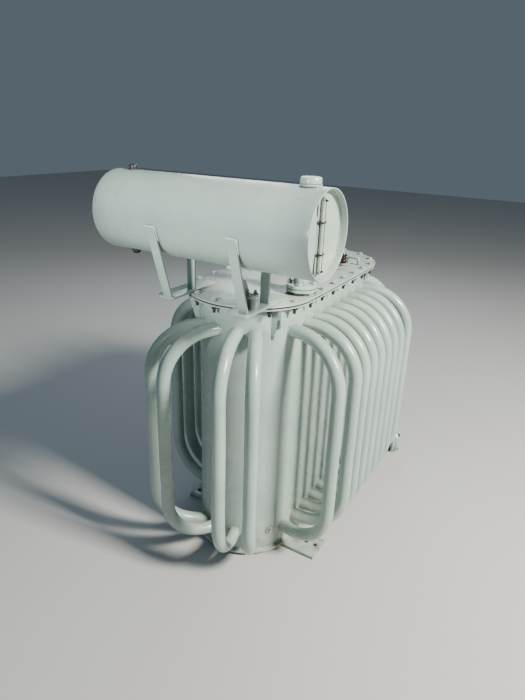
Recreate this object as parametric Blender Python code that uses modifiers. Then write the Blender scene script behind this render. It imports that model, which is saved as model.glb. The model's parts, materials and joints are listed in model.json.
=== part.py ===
"""Oil-filled power transformer with an obround tubular tank and a conservator drum.

Metres, +Z up. The tank's long axis is Y, its near rounded end points to -Y, the origin is on the floor.
"""
import math

import bmesh
import bpy
from mathutils import Matrix, Vector

# clearance between pieces that touch
gap = 0.0003

# tank
tankRadius = 0.2035
straightHalf = 0.301
wallThick = 0.005
arcSteps = 24

# skids
skidThick = 0.016
skidWidth = 0.120
skidOverhang = 0.1515  # past the tank wall at the straight end
skidShortOverhang = 0.1315  # past it at the cranked end
skidCrank = 0.057
skidCrankHalf = 0.080
skidInset = 0.010  # from the end centres towards the middle
skidHoleRadius = 0.010
skidHoleEdge = 0.024
skidHolePitch = 0.042
skidHoleShift = 0.012

# bottom plate, rim flange and cover
bottomThick = 0.010
bottomOverhang = 0.0145
rimHeight = 1.0990
flangeThick = 0.006
coverOverhang = 0.045
gasketThick = 0.003
gasketWidth = 0.030
gasketInset = 0.004
coverThick = 0.006

# cooling tubes
tubeRadius = 0.0255
tubeSides = 12
bendRadius = 0.185
bendSteps = 5
tubeTop = 0.996
tubeBottom = 0.111
sideReach = 0.2235
endReach = 0.200
sideCount = 7
sidePitch = 0.0846
cornerAngle = 78.0
# where each end tube leaves the wall and where its upright run stands, as angles from the long axis
endTubeAngles = ((-28.0, -37.0), (-10.0, -19.7), (16.0, 16.0), (35.5, 32.5))

# lifting lugs
# each stands across the wall where the rounded end has turned this far from the tank's long axis
hookedLugAngle = 52.46
hookedLugDepth = 0.0304
hookedLugHeight = 0.118
hookedLugFoot = 0.005
plainLugAngle = 48.44
plainLugDepth = 0.053
plainLugHeight = 0.100
plainLugFoot = 0.013
lugThick = 0.010
lugSlotWidth = 0.0075
lugProng = 0.0735
lugProngWidth = 0.006
lugTopBar = 0.043
lugLip = 0.018

# earth bolt and drain
boltAngle = 58.5
boltHeight = 0.116
bossRadius = 0.016
bossLength = 0.014
drainAngle = 52.0
drainHeight = 0.118
drainPipeRadius = 0.032
drainLength = 0.259
drainFlangeRadius = 0.075
drainFlangeThick = 0.016
drainHubRadius = 0.022
drainHubLength = 0.018

# conservator drum
drumRadius = 0.136
drumThick = 0.004
drumInset = 0.0035  # the drum's axis behind the cover's near end
drumRise = 0.1424  # the drum's underside above the cover
drumLeft = -0.4175
drumRight = 0.4035
drumSteps = 48
endRecess = 0.026
endThick = 0.005

# fittings on the drum
fillerInset = 0.0695  # from the drum's right end
fillerCapRadius = 0.032
fillerCapHeight = 0.019
fillerNeckRadius = 0.024
fillerNeckHeight = 0.006
ventInset = 0.0695  # from its left end
ventRadius = 0.017
ventHeight = 0.017
sumpInset = 0.0655  # from its left end
sumpRadius = 0.017
sumpHeight = 0.018
gaugeHalf = 0.112
gaugeShift = 0.020  # in front of the drum's axis
gaugeWidth = 0.014
gaugeBlock = 0.018
gaugeDepth = 0.017
gaugeBackHalf = 0.017
gaugeBackThick = 0.003
gaugeGlassBack = 0.0025
gaugeGlassRadius = 0.0045

# conservator brackets
leftBracketInset = 0.0905  # from the cover's left edge
rightBracketInset = 0.095  # from its right edge
# the base plate about its uprights' middle line: to the left, to the right and in front of the drum's axis
leftBase = (0.055, 0.0245, 0.067)
rightBase = (0.062, 0.0265, 0.083)
baseRear = 0.193  # behind the drum's axis
baseThick = 0.008
leftCorner = 0.028
rightCorner = 0.012
cornerSteps = 4
uprightWidth = 0.035
uprightThick = 0.008
uprightLean = 17.5
uprightOver = 0.024
rearUprightBack = 0.070  # behind the drum's axis
webThick = 0.006
webOut = 0.0025  # past the upright's left edge
webHeight = 0.1471
webShoulder = 0.1087
webShoulderBack = 0.0265  # behind the upright's foot
webBack = 0.0865  # behind it at the base plate

# oil pipe from the cover to the drum
pipeInset = 0.0685  # from the cover's right edge
pipeBack = 0.290  # behind the drum's axis
pipeRadius = 0.030
pipeFlangeRadius = 0.058
pipeFlangeThick = 0.012
pipeBend = 0.075
pipeStub = 0.010
pipeSides = 20

# pocket on the right bracket's base plate
pocketFront = 0.011  # in front of the drum's axis
pocketRadius = 0.0115
pocketHeight = 0.0508
pocketFlangeHalf = 0.0285
pocketFlangeRadius = 0.0125
pocketFlangeThick = 0.008

# staple on the cover
stapleSideInset = 0.0865  # from the cover's right edge
stapleInset = 0.010  # from the far end centre towards the middle
stapleWidth = 0.064
stapleHeight = 0.036
stapleBar = 0.010
stapleDepth = 0.014

# bushings
lowSideInset = 0.1165  # from the cover's right edge
lowInset = 0.058
lowPitch = 0.090
lowCount = 4
lowRadius = 0.018
lowShed = 0.0225
lowHeight = 0.066
lowSheds = 3
highSideInset = 0.1535  # from its left edge
highInset = 0.012
highPitch = 0.150
highCount = 3
highRadius = 0.026
highShed = 0.042
highHeight = 0.215
highSheds = 5
bushingSteps = 18

# heights that follow from the sizes above
bottomZ = skidThick + gap
wallZ = bottomZ + bottomThick + gap
flangeZ = rimHeight
wallTop = flangeZ + flangeThick
gasketZ = wallTop + gap
coverZ = gasketZ + gasketThick + gap
coverTop = coverZ + coverThick
coverRadius = tankRadius + coverOverhang
drumZ = coverTop + drumRise + drumRadius

# places across the tank that follow from its width and the drum's ends
skidLong = tankRadius + skidOverhang
skidShort = tankRadius + skidShortOverhang
pipeX = coverRadius - pipeInset
stapleX = coverRadius - stapleSideInset
lowX = coverRadius - lowSideInset
highX = highSideInset - coverRadius
fillerX = drumRight - fillerInset
ventX = drumLeft + ventInset
sumpX = drumLeft + sumpInset

# places along the tank that follow from its length
coverEnd = -(straightHalf + coverRadius)
drumY = coverEnd + drumInset
pipeY = drumY + pipeBack
rearUprightY = drumY + rearUprightBack
pocketY = drumY - pocketFront
stapleY = straightHalf - stapleInset
lowFirstY = straightHalf - lowInset
highLastY = straightHalf - highInset
skidOffset = straightHalf - skidInset

paint = (0.55, 0.62, 0.57)
porcelain = (0.16, 0.07, 0.04)
steel = (0.45, 0.45, 0.44)
cork = (0.10, 0.09, 0.08)
glass = (0.75, 0.80, 0.76)


def clearScene():
    for item in list(bpy.data.objects):
        bpy.data.objects.remove(item, do_unlink=True)


clearScene()
partsCollection = bpy.data.collections.new("power_transformer")
cutterCollection = bpy.data.collections.new("power_transformer_cutters")
bpy.context.scene.collection.children.link(partsCollection)
bpy.context.scene.collection.children.link(cutterCollection)


def giveMaterial(item, color, roughness=0.4, metallic=0.0):
    mat = bpy.data.materials.new(item.name + "_finish")
    mat.use_nodes = True
    shader = mat.node_tree.nodes["Principled BSDF"]
    shader.inputs["Base Color"].default_value = (*color, 1.0)
    shader.inputs["Roughness"].default_value = roughness
    shader.inputs["Metallic"].default_value = metallic
    item.data.materials.clear()
    item.data.materials.append(mat)


def addObject(name, data, cutter=False):
    item = bpy.data.objects.new(name, data)
    (cutterCollection if cutter else partsCollection).objects.link(item)
    if cutter:
        item.hide_render = True
        item.display_type = "WIRE"
    return item


def smooth(item, angle=35.0):
    item.data.shade_smooth()
    item.data.set_sharp_from_angle(angle=math.radians(angle))


def meshFromCurve(item, name):
    """A curve made into a mesh object with its caps welded."""
    bpy.context.view_layer.update()
    graph = bpy.context.evaluated_depsgraph_get()
    mesh = bpy.data.meshes.new_from_object(item.evaluated_get(graph))
    work = bmesh.new()
    work.from_mesh(mesh)
    bmesh.ops.remove_doubles(work, verts=work.verts, dist=0.00002)
    bmesh.ops.recalc_face_normals(work, faces=work.faces)
    work.to_mesh(mesh)
    work.free()
    mesh.name = name
    solid = addObject(name, mesh)
    solid.matrix_world = item.matrix_world
    curve = item.data
    bpy.data.objects.remove(item, do_unlink=True)
    bpy.data.curves.remove(curve)
    return solid


def outlineSolid(name, loops, thick, matrix=Matrix.Identity(4)):
    """Flat outlines (the first outside, the rest holes) with a thickness from 0 to thick."""
    curve = bpy.data.curves.new(name, "CURVE")
    curve.dimensions = "2D"
    curve.fill_mode = "BOTH"
    curve.extrude = thick / 2
    for loop in loops:
        spline = curve.splines.new("POLY")
        spline.points.add(len(loop) - 1)
        for point, (x, y) in zip(spline.points, loop):
            point.co = (x, y, 0.0, 1.0)
        spline.use_cyclic_u = True
    item = addObject(name + "_outline", curve)
    item.matrix_world = matrix @ Matrix.Translation((0.0, 0.0, thick / 2))
    return meshFromCurve(item, name)


def stadium(radius):
    """Obround outline round the tank's two end centres."""
    points = []
    for end in (-1, 1):
        for step in range(arcSteps + 1):
            turn = math.pi * step / arcSteps
            points.append((end * -radius * math.cos(turn), end * (straightHalf + radius * math.sin(turn))))
    return points


def circle(x, y, radius, steps=24):
    return [(x + radius * math.cos(2 * math.pi * i / steps), y + radius * math.sin(2 * math.pi * i / steps))
            for i in range(steps)]


def turned(name, profile, steps=32, closed=False, matrix=Matrix.Identity(4), cutter=False):
    """A profile of (radius, height) points, top to bottom on its outer side, turned about Z."""
    mesh = bpy.data.meshes.new(name)
    edges = [(i, i + 1) for i in range(len(profile) - 1)]
    if closed:
        edges.append((len(profile) - 1, 0))
    mesh.from_pydata([(r, 0.0, z) for r, z in profile], edges, [])
    item = addObject(name, mesh, cutter)
    item.matrix_world = matrix
    screw = item.modifiers.new("turn", "SCREW")
    screw.axis = "Z"
    screw.steps = steps
    screw.render_steps = steps
    screw.use_merge_vertices = True
    screw.merge_threshold = 0.00005
    screw.use_smooth_shade = True
    return item


def cut(item, cutter, name="cut"):
    boolean = item.modifiers.new(name, "BOOLEAN")
    boolean.operation = "DIFFERENCE"
    boolean.solver = "EXACT"
    boolean.object = cutter


def hide(item):
    """Makes an object a hidden helper."""
    for group in item.users_collection:
        group.objects.unlink(item)
    cutterCollection.objects.link(item)
    item.hide_render = True
    item.display_type = "WIRE"


def join(item, other, name="join"):
    """A union of other into item; other stays as a hidden helper."""
    hide(other)
    boolean = item.modifiers.new(name, "BOOLEAN")
    boolean.operation = "UNION"
    boolean.solver = "EXACT"
    boolean.object = other


def box(name, low, high, cutter=False):
    mesh = bpy.data.meshes.new(name)
    work = bmesh.new()
    bmesh.ops.create_cube(work, size=1.0)
    size = Vector(high) - Vector(low)
    middle = (Vector(high) + Vector(low)) / 2
    bmesh.ops.scale(work, vec=size, verts=work.verts)
    bmesh.ops.translate(work, vec=middle, verts=work.verts)
    work.to_mesh(mesh)
    work.free()
    return addObject(name, mesh, cutter)


def barrel(name, radius, length, matrix, steps=32, cutter=False):
    """A cylinder along the matrix's Z, starting at its origin."""
    mesh = bpy.data.meshes.new(name)
    work = bmesh.new()
    bmesh.ops.create_cone(work, cap_ends=True, segments=steps, radius1=radius, radius2=radius, depth=length)
    bmesh.ops.translate(work, vec=(0.0, 0.0, length / 2), verts=work.verts)
    work.to_mesh(mesh)
    work.free()
    item = addObject(name, mesh, cutter)
    item.matrix_world = matrix
    return item


def alongX(x, y, z):
    return Matrix.Translation((x, y, z)) @ Matrix.Rotation(math.radians(90), 4, "Y")


def roundedEnd(angle, end, distance):
    """The point at a distance from a rounded end's centre, at an angle from the tank's long axis."""
    turn = math.radians(angle)
    return Vector((distance * math.sin(turn), end * (straightHalf + distance * math.cos(turn)), 0.0))


def outward(angle, end, height, distance):
    """A frame whose Z points out of the rounded end at an angle from the tank's long axis."""
    turn = math.radians(angle)
    direction = Vector((math.sin(turn), end * math.cos(turn), 0.0))
    origin = roundedEnd(angle, end, distance) + Vector((0.0, 0.0, height))
    side = Vector((0.0, 0.0, 1.0)).cross(direction)
    matrix = Matrix((side, Vector((0.0, 0.0, 1.0)), direction)).transposed().to_4x4()
    if matrix.determinant() < 0:
        matrix = Matrix((-side, Vector((0.0, 0.0, 1.0)), direction)).transposed().to_4x4()
    matrix.translation = origin
    return matrix


# tank: bottom plate, wall, rim flange, gasket and cover

bottomPlate = outlineSolid("tank_bottom_plate", [stadium(tankRadius + bottomOverhang)], bottomThick,
                           Matrix.Translation((0, 0, bottomZ)))
wall = outlineSolid("tank_wall", [stadium(tankRadius), stadium(tankRadius - wallThick)], wallTop - wallZ,
                    Matrix.Translation((0, 0, wallZ)))
flange = outlineSolid("tank_rim_flange", [stadium(coverRadius), stadium(tankRadius + gap)], flangeThick,
                      Matrix.Translation((0, 0, flangeZ)))
gasketRadius = coverRadius - gasketInset
gasket = outlineSolid("rim_gasket", [stadium(gasketRadius), stadium(gasketRadius - gasketWidth)], gasketThick,
                      Matrix.Translation((0, 0, gasketZ)))
cover = outlineSolid("cover_plate", [stadium(coverRadius)], coverThick, Matrix.Translation((0, 0, coverZ)))
for item in (bottomPlate, wall, flange, cover):
    smooth(item)
    giveMaterial(item, paint)
smooth(gasket)
giveMaterial(gasket, cork, 0.8)


# cooling tubes: one C-shaped tube each, in an upright plane, its ends cut to the wall's round

wallCutter = outlineSolid("wall_round", [stadium(tankRadius + gap)], wallTop, Matrix.Identity(4))
hide(wallCutter)


def coolingTube(name, start, direction, reach):
    """A tube from the wall at the top, out, down and back to the wall at the bottom."""
    outline = [(-tubeRadius, tubeTop)]
    for step in range(bendSteps + 1):
        turn = math.pi / 2 * step / bendSteps
        outline.append((reach - bendRadius + bendRadius * math.sin(turn),
                        tubeTop - bendRadius + bendRadius * math.cos(turn)))
    for step in range(bendSteps + 1):
        turn = math.pi / 2 * step / bendSteps
        outline.append((reach - bendRadius + bendRadius * math.cos(turn),
                        tubeBottom + bendRadius - bendRadius * math.sin(turn)))
    outline.append((-tubeRadius, tubeBottom))
    curve = bpy.data.curves.new(name, "CURVE")
    curve.dimensions = "3D"
    curve.bevel_depth = tubeRadius
    curve.bevel_resolution = (tubeSides - 4) // 2
    curve.use_fill_caps = True
    spline = curve.splines.new("POLY")
    spline.points.add(len(outline) - 1)
    for point, (out, height) in zip(spline.points, outline):
        point.co = (start.x + direction.x * out, start.y + direction.y * out, height, 1.0)
    tube = meshFromCurve(addObject(name + "_path", curve), name)
    cut(tube, wallCutter)
    smooth(tube, 50.0)
    giveMaterial(tube, paint)
    return tube


def endTube(name, exitAngle, runAngle, end, reach):
    start = roundedEnd(exitAngle, end, tankRadius)
    across = roundedEnd(runAngle, end, tankRadius + reach) - start
    coolingTube(name, start, across.normalized(), across.length)


for side, sideName in ((1, "right"), (-1, "left")):
    for index in range(sideCount):
        along = (index - (sideCount - 1) / 2) * sidePitch
        coolingTube(f"cooling_tube_{sideName}_{index + 1}", Vector((side * tankRadius, along, 0.0)),
                    Vector((side, 0.0, 0.0)), sideReach)
for end, endName in ((-1, "near"), (1, "far")):
    endTube(f"cooling_tube_{endName}_corner", cornerAngle, cornerAngle, end, sideReach)
    for index, (exitAngle, runAngle) in enumerate(endTubeAngles):
        endTube(f"cooling_tube_{endName}_{index + 1}", -end * exitAngle, -end * runAngle, end, endReach)


# lifting lugs across the wall, under the rim flange: hooked on the right, plain on the left

lugTop = flangeZ - gap
slotOuter = hookedLugDepth - lugProngWidth
slotInner = slotOuter - lugSlotWidth
hookedLug = [(0.0, 0.0), (hookedLugDepth, 0.0), (hookedLugDepth, -lugProng), (slotOuter, -lugProng),
             (slotOuter, -lugTopBar), (slotInner, -lugTopBar), (hookedLugFoot, -hookedLugHeight), (0.0, -hookedLugHeight)]
plainLug = [(0.0, 0.0), (plainLugDepth, 0.0), (plainLugFoot, -plainLugHeight), (0.0, -plainLugHeight)]
for side, sideName, angle, lugOutline in ((1, "right", hookedLugAngle, hookedLug), (-1, "left", plainLugAngle, plainLug)):
    offset = tankRadius * math.cos(math.radians(angle))
    lugPlace = straightHalf + offset
    lugInner = math.sqrt(tankRadius ** 2 - (offset - lugThick / 2) ** 2) + gap * 2
    for end, endName in ((-1, "near"), (1, "far")):
        upright = Matrix(((side, 0, 0, side * lugInner), (0, 0, -side, end * lugPlace + side * lugThick / 2),
                          (0, 1, 0, lugTop), (0, 0, 0, 1)))
        lug = outlineSolid(f"lifting_lug_{endName}_{sideName}", [lugOutline], lugThick, upright)
        if lugOutline is hookedLug:
            depths = sorted((end * lugPlace, end * (lugPlace - lugThick / 2 - lugLip)))
            lip = box(f"lug_lip_{endName}", (lugInner + slotOuter, depths[0], lugTop - lugProng),
                      (lugInner + hookedLugDepth, depths[1], lugTop))
            join(lug, lip)
        giveMaterial(lug, paint)


# skids: cranked flat bars across under the tank with holes in their ends, the far one turned half round

for turn, endName in ((1, "near"), (-1, "far")):
    edge = skidWidth / 2
    outline = [(-skidShort, skidCrank - edge), (-skidCrankHalf, skidCrank - edge), (skidCrankHalf, -edge), (skidLong, -edge),
               (skidLong, edge), (skidCrankHalf, edge), (-skidCrankHalf, skidCrank + edge), (-skidShort, skidCrank + edge)]
    places = [(skidLong - skidHoleEdge - i * skidHolePitch, skidHoleShift) for i in range(2)]
    places += [(-skidShort + skidHoleEdge + i * skidHolePitch, skidCrank - skidHoleShift) for i in range(2)]
    loops = [[(turn * x, turn * (y - skidOffset)) for x, y in outline]]
    loops += [circle(turn * x, turn * (y - skidOffset), skidHoleRadius, 16) for x, y in places]
    skid = outlineSolid(f"skid_{endName}", loops, skidThick)
    giveMaterial(skid, paint, 0.5)


# earth bolt boss and drain branch

boss = turned("earth_bolt", [(0.0, bossLength), (bossRadius * 0.5, bossLength), (bossRadius * 0.5, bossLength * 0.45),
                             (bossRadius, bossLength * 0.45), (bossRadius, 0.0), (0.0, 0.0)], 24,
              matrix=outward(boltAngle, -1, boltHeight, tankRadius + gap))
giveMaterial(boss, steel, 0.4, 0.8)
drain = turned("drain_branch", [
    (0.0, drainLength + drainFlangeThick + drainHubLength), (drainHubRadius, drainLength + drainFlangeThick + drainHubLength),
    (drainHubRadius, drainLength + drainFlangeThick), (drainFlangeRadius, drainLength + drainFlangeThick),
    (drainFlangeRadius, drainLength), (drainPipeRadius, drainLength), (drainPipeRadius, 0.0), (0.0, 0.0)], 32,
    matrix=outward(drainAngle, 1, drainHeight, tankRadius + gap))
giveMaterial(drain, paint, 0.5)


# conservator drum: an open shell with an end plate set into each end

drumLength = drumRight - drumLeft
shell = turned("conservator_shell", [(drumRadius, drumLength), (drumRadius, 0.0), (drumRadius - drumThick, 0.0),
                                     (drumRadius - drumThick, drumLength)], drumSteps, True,
               alongX(drumLeft, drumY, drumZ))
giveMaterial(shell, paint)
endRadius = drumRadius - drumThick - gap
for name, x in (("conservator_end_right", drumRight - endRecess - endThick), ("conservator_end_left", drumLeft + endRecess)):
    plate = barrel(name, endRadius, endThick, alongX(x, drumY, drumZ), drumSteps)
    smooth(plate)
    giveMaterial(plate, paint)


# fittings on the drum, each cut to the drum's round

drumCutter = barrel("drum_round", drumRadius + gap, drumLength * 1.2, alongX(drumLeft - drumLength * 0.1, drumY, drumZ),
                    drumSteps * 2, True)
sink = drumRadius - math.sqrt(drumRadius ** 2 - fillerCapRadius ** 2) + 0.004
top = drumZ + drumRadius
filler = turned("filler_cap", [
    (0.0, fillerNeckHeight + fillerCapHeight), (fillerCapRadius * 0.9, fillerNeckHeight + fillerCapHeight),
    (fillerCapRadius, fillerNeckHeight + fillerCapHeight * 0.75), (fillerCapRadius, fillerNeckHeight),
    (fillerNeckRadius, fillerNeckHeight), (fillerNeckRadius, -sink), (0.0, -sink)], 32,
    matrix=Matrix.Translation((fillerX, drumY, top)))
vent = turned("vent_cap", [
    (0.0, ventHeight), (ventRadius * 0.7, ventHeight), (ventRadius, ventHeight * 0.6), (ventRadius, -sink), (0.0, -sink)], 24,
    matrix=Matrix.Translation((ventX, drumY, top)))
sump = turned("sump_plug", [
    (0.0, sink), (sumpRadius, sink), (sumpRadius, -sumpHeight * 0.6), (sumpRadius * 0.6, -sumpHeight), (0.0, -sumpHeight)], 24,
    matrix=Matrix.Translation((sumpX, drumY, drumZ - drumRadius)))
for item in (filler, vent, sump):
    cut(item, drumCutter)
    giveMaterial(item, paint, 0.5)


# oil gauge: a backing strip on the end plate, a block at each end of it and a glass between the blocks

plateFace = drumRight - endRecess + gap
gaugeY = drumY - gaugeShift
gauge = box("oil_gauge_frame", (plateFace, gaugeY - gaugeBackHalf, drumZ - gaugeHalf),
            (plateFace + gaugeBackThick, gaugeY + gaugeBackHalf, drumZ + gaugeHalf))
lower = box("gauge_lower_block", (plateFace + gaugeBackThick / 2, gaugeY - gaugeWidth / 2, drumZ - gaugeHalf),
            (plateFace + gaugeDepth, gaugeY + gaugeWidth / 2, drumZ - gaugeHalf + gaugeBlock))
upper = box("gauge_upper_block", (plateFace + gaugeBackThick / 2, gaugeY - gaugeWidth / 2, drumZ + gaugeHalf - gaugeBlock),
            (plateFace + gaugeDepth, gaugeY + gaugeWidth / 2, drumZ + gaugeHalf))
join(gauge, lower, "lower")
join(gauge, upper, "upper")
giveMaterial(gauge, paint)
glassLength = 2 * (gaugeHalf - gaugeBlock) - 2 * gap
glassX = plateFace + gaugeDepth - gaugeGlassRadius - gaugeGlassBack
glassTube = barrel("oil_gauge_glass", gaugeGlassRadius, glassLength,
                   Matrix.Translation((glassX, gaugeY, drumZ - glassLength / 2)), 16)
smooth(glassTube)
giveMaterial(glassTube, glass, 0.1)


# conservator brackets: base plate, leaning front upright against the drum, short rear upright under it,
# and on the right one a web behind the front upright

baseZ = coverTop + gap
leanTurn = math.radians(uprightLean)
leanDirection = Vector((-math.sin(leanTurn), math.cos(leanTurn)))
leanNormal = Vector((-math.cos(leanTurn), -math.sin(leanTurn)))
innerDistance = drumRadius + gap
contact = Vector((drumY, drumZ)) + leanNormal * innerDistance
uprightTopPoint = contact + leanDirection * uprightOver


def onLean(point, height):
    """The point on the leaning line through point at a height."""
    return point + leanDirection * ((height - point.y) / leanDirection.y)


uprightFoot = baseZ + baseThick / 2
innerFoot = onLean(contact, uprightFoot)
outerFoot = onLean(contact + leanNormal * uprightThick, uprightFoot)
outerTop = uprightTopPoint + leanNormal * uprightThick
rearTop = drumZ - math.sqrt((drumRadius + gap) ** 2 - (rearUprightY - uprightThick / 2 - drumY) ** 2) - 0.0005
sideways = Matrix(((0, 0, 1, 0), (1, 0, 0, 0), (0, 1, 0, 0), (0, 0, 0, 1)))
webLine = contact + leanNormal * (uprightThick / 2)
webOutline = [tuple(onLean(webLine, uprightFoot)), tuple(onLean(webLine, baseZ + webHeight)),
              (innerFoot.x + webShoulderBack, baseZ + webShoulder), (innerFoot.x + webBack, uprightFoot)]


def roundedPlate(low, high, corners):
    """Outline of a plate with its left front and right front corners rounded by these radii."""
    points = [(low[0], high[1])]
    for side, x, radius in ((-1, low[0], corners[0]), (1, high[0], corners[1])):
        turns = [math.pi / 2 * step / cornerSteps for step in range(cornerSteps + 1)]
        for turn in turns if side < 0 else reversed(turns):
            points.append((x - side * radius * (1.0 - math.cos(turn)), low[1] + radius * (1.0 - math.sin(turn))))
    points.append((high[0], high[1]))
    return points


leftBracketX = leftBracketInset - coverRadius
rightBracketX = coverRadius - rightBracketInset
for sideName, x, plate in (("left", leftBracketX, leftBase), ("right", rightBracketX, rightBase)):
    toLeft, toRight, toFront = plate
    outline = roundedPlate((x - toLeft, drumY - toFront), (x + toRight, drumY + baseRear), (leftCorner, rightCorner))
    base = outlineSolid(f"bracket_{sideName}", [outline], baseThick, Matrix.Translation((0, 0, baseZ)))
    front = outlineSolid(f"front_upright_{sideName}", [[tuple(innerFoot), tuple(outerFoot), tuple(outerTop), tuple(uprightTopPoint)]],
                         uprightWidth, Matrix.Translation((x - uprightWidth / 2, 0, 0)) @ sideways)
    rear = box(f"rear_upright_{sideName}", (x - uprightWidth / 2, rearUprightY - uprightThick / 2, uprightFoot),
               (x + uprightWidth / 2, rearUprightY + uprightThick / 2, rearTop))
    join(base, front, "front")
    join(base, rear, "rear")
    if sideName == "right":
        web = outlineSolid("web_right", [webOutline], webThick,
                           Matrix.Translation((x - uprightWidth / 2 - webOut, 0, 0)) @ sideways)
        join(base, web, "web")
    giveMaterial(base, paint)


# oil pipe: a flange on the cover and a flanged riser that bends into the back of the drum

lowerPipe = turned("pipe_lower_flange", [
    (0.0, pipeStub + pipeFlangeThick), (pipeFlangeRadius, pipeStub + pipeFlangeThick), (pipeFlangeRadius, pipeStub),
    (pipeRadius, pipeStub), (pipeRadius, 0.0), (0.0, 0.0)], 32,
    matrix=Matrix.Translation((pipeX, pipeY, coverTop + gap)))
giveMaterial(lowerPipe, paint)
pipeStart = coverTop + gap + pipeStub + pipeFlangeThick + gap
riser = bpy.data.curves.new("pipe_riser", "CURVE")
riser.dimensions = "3D"
riser.bevel_depth = pipeRadius
riser.bevel_resolution = (pipeSides - 4) // 2
riser.use_fill_caps = True
path = [(pipeY, pipeStart)]
for step in range(9):
    turn = math.pi / 2 * step / 8
    path.append((pipeY - pipeBend + pipeBend * math.cos(turn), drumZ - pipeBend + pipeBend * math.sin(turn)))
path.append((drumY + drumRadius + gap, drumZ))
riserSpline = riser.splines.new("POLY")
riserSpline.points.add(len(path) - 1)
for point, (y, z) in zip(riserSpline.points, path):
    point.co = (pipeX, y, z, 1.0)
riserSolid = meshFromCurve(addObject("pipe_riser_path", riser), "pipe_riser")
riserFlange = barrel("riser_flange", pipeFlangeRadius, pipeFlangeThick, Matrix.Translation((pipeX, pipeY, pipeStart)), 32)
join(riserSolid, riserFlange)
smooth(riserSolid, 40.0)
giveMaterial(riserSolid, paint)


# pocket with an oval flange on the right bracket's base plate

pocketFoot = baseZ + baseThick + gap
pocket = barrel("cover_pocket", pocketRadius, pocketHeight - pocketFlangeThick / 2,
                Matrix.Translation((rightBracketX, pocketY, pocketFoot)), 24)
oval = []
for end in (-1, 1):
    for step in range(9):
        turn = math.pi * step / 8
        oval.append((-end * pocketFlangeRadius * math.cos(turn),
                     end * (pocketFlangeHalf - pocketFlangeRadius + pocketFlangeRadius * math.sin(turn))))
pocketFlange = outlineSolid("pocket_flange", [oval], pocketFlangeThick,
                            Matrix.Translation((rightBracketX, pocketY, pocketFoot + pocketHeight - pocketFlangeThick)))
join(pocket, pocketFlange)
giveMaterial(pocket, paint)


# staple on the cover

half = stapleWidth / 2
stapleOutline = [(-half, 0.0), (-half + stapleBar, 0.0), (-half + stapleBar, stapleHeight - stapleBar),
                 (half - stapleBar, stapleHeight - stapleBar), (half - stapleBar, 0.0), (half, 0.0),
                 (half, stapleHeight), (-half, stapleHeight)]
staplePlace = Matrix.Translation((stapleX, stapleY + stapleDepth / 2, coverTop + gap))
staple = outlineSolid("cover_staple", [stapleOutline], stapleDepth, staplePlace @ Matrix.Rotation(math.radians(90), 4, "X"))
giveMaterial(staple, paint, 0.5)


# porcelain bushings: turned bodies with sheds

def bushing(name, x, y, radius, shed, height, sheds):
    profile = [(0.0, height), (radius * 0.75, height)]
    pitch = height * 0.80 / sheds
    for index in range(sheds):
        high = height * 0.92 - index * pitch
        profile += [(radius * 0.8, high), (shed, high - pitch * 0.5), (radius * 0.8, high - pitch * 0.7)]
    profile += [(radius, height * 0.10), (radius, 0.0), (0.0, 0.0)]
    item = turned(name, profile, bushingSteps, matrix=Matrix.Translation((x, y, coverTop + gap)))
    giveMaterial(item, porcelain, 0.15)


for index in range(lowCount):
    bushing(f"low_bushing_{index + 1}", lowX, lowFirstY - index * lowPitch, lowRadius, lowShed, lowHeight, lowSheds)
for index in range(highCount):
    bushing(f"high_bushing_{index + 1}", highX, highLastY - index * highPitch, highRadius, highShed, highHeight, highSheds)
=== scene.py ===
# Power transformer: obround tank with bent cooling tubes, bolted cover and conservator drum.
import json
import math
import random

import bpy
import bmesh
from mathutils import Matrix, Vector, noise

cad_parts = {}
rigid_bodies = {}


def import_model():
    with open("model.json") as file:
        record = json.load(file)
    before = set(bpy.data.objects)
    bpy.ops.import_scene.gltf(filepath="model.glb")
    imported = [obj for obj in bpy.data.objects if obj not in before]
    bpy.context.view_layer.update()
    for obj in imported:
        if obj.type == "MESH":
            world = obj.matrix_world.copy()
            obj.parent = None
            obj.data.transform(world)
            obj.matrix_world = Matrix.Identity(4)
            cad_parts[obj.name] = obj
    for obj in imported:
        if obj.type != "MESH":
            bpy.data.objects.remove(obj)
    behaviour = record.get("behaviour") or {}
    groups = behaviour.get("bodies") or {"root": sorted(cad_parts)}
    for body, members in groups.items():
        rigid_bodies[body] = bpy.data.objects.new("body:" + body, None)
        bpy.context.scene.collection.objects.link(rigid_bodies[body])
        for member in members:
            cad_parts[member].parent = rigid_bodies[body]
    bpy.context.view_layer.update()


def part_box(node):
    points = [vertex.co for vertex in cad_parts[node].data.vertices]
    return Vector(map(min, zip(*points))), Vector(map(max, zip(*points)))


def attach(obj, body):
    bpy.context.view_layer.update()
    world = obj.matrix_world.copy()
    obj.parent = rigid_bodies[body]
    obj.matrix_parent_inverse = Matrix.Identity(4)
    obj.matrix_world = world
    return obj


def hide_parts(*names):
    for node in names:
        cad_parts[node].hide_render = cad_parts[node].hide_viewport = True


for item in list(bpy.data.objects):
    bpy.data.objects.remove(item, do_unlink=True)
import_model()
print("frame loaded")


# small mesh helpers

meshWork = {"merge": 0.00001, "boxSegments": 2, "boxProfile": 0.5, "plateSegments": 1, "plateAngle": 45.0,
            "barAngle": 50.0}


def newObject(name, mesh):
    item = bpy.data.objects.new(name, mesh)
    bpy.context.scene.collection.objects.link(item)
    return item


def shadeRound(mesh, angle=40.0):
    mesh.shade_smooth()
    mesh.set_sharp_from_angle(angle=math.radians(angle))


def tidied(mesh):
    # doubles merged, faces turned outwards
    work = bmesh.new()
    work.from_mesh(mesh)
    bmesh.ops.remove_doubles(work, verts=work.verts, dist=meshWork["merge"])
    bmesh.ops.recalc_face_normals(work, faces=work.faces)
    work.to_mesh(mesh)
    work.free()
    return mesh


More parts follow.
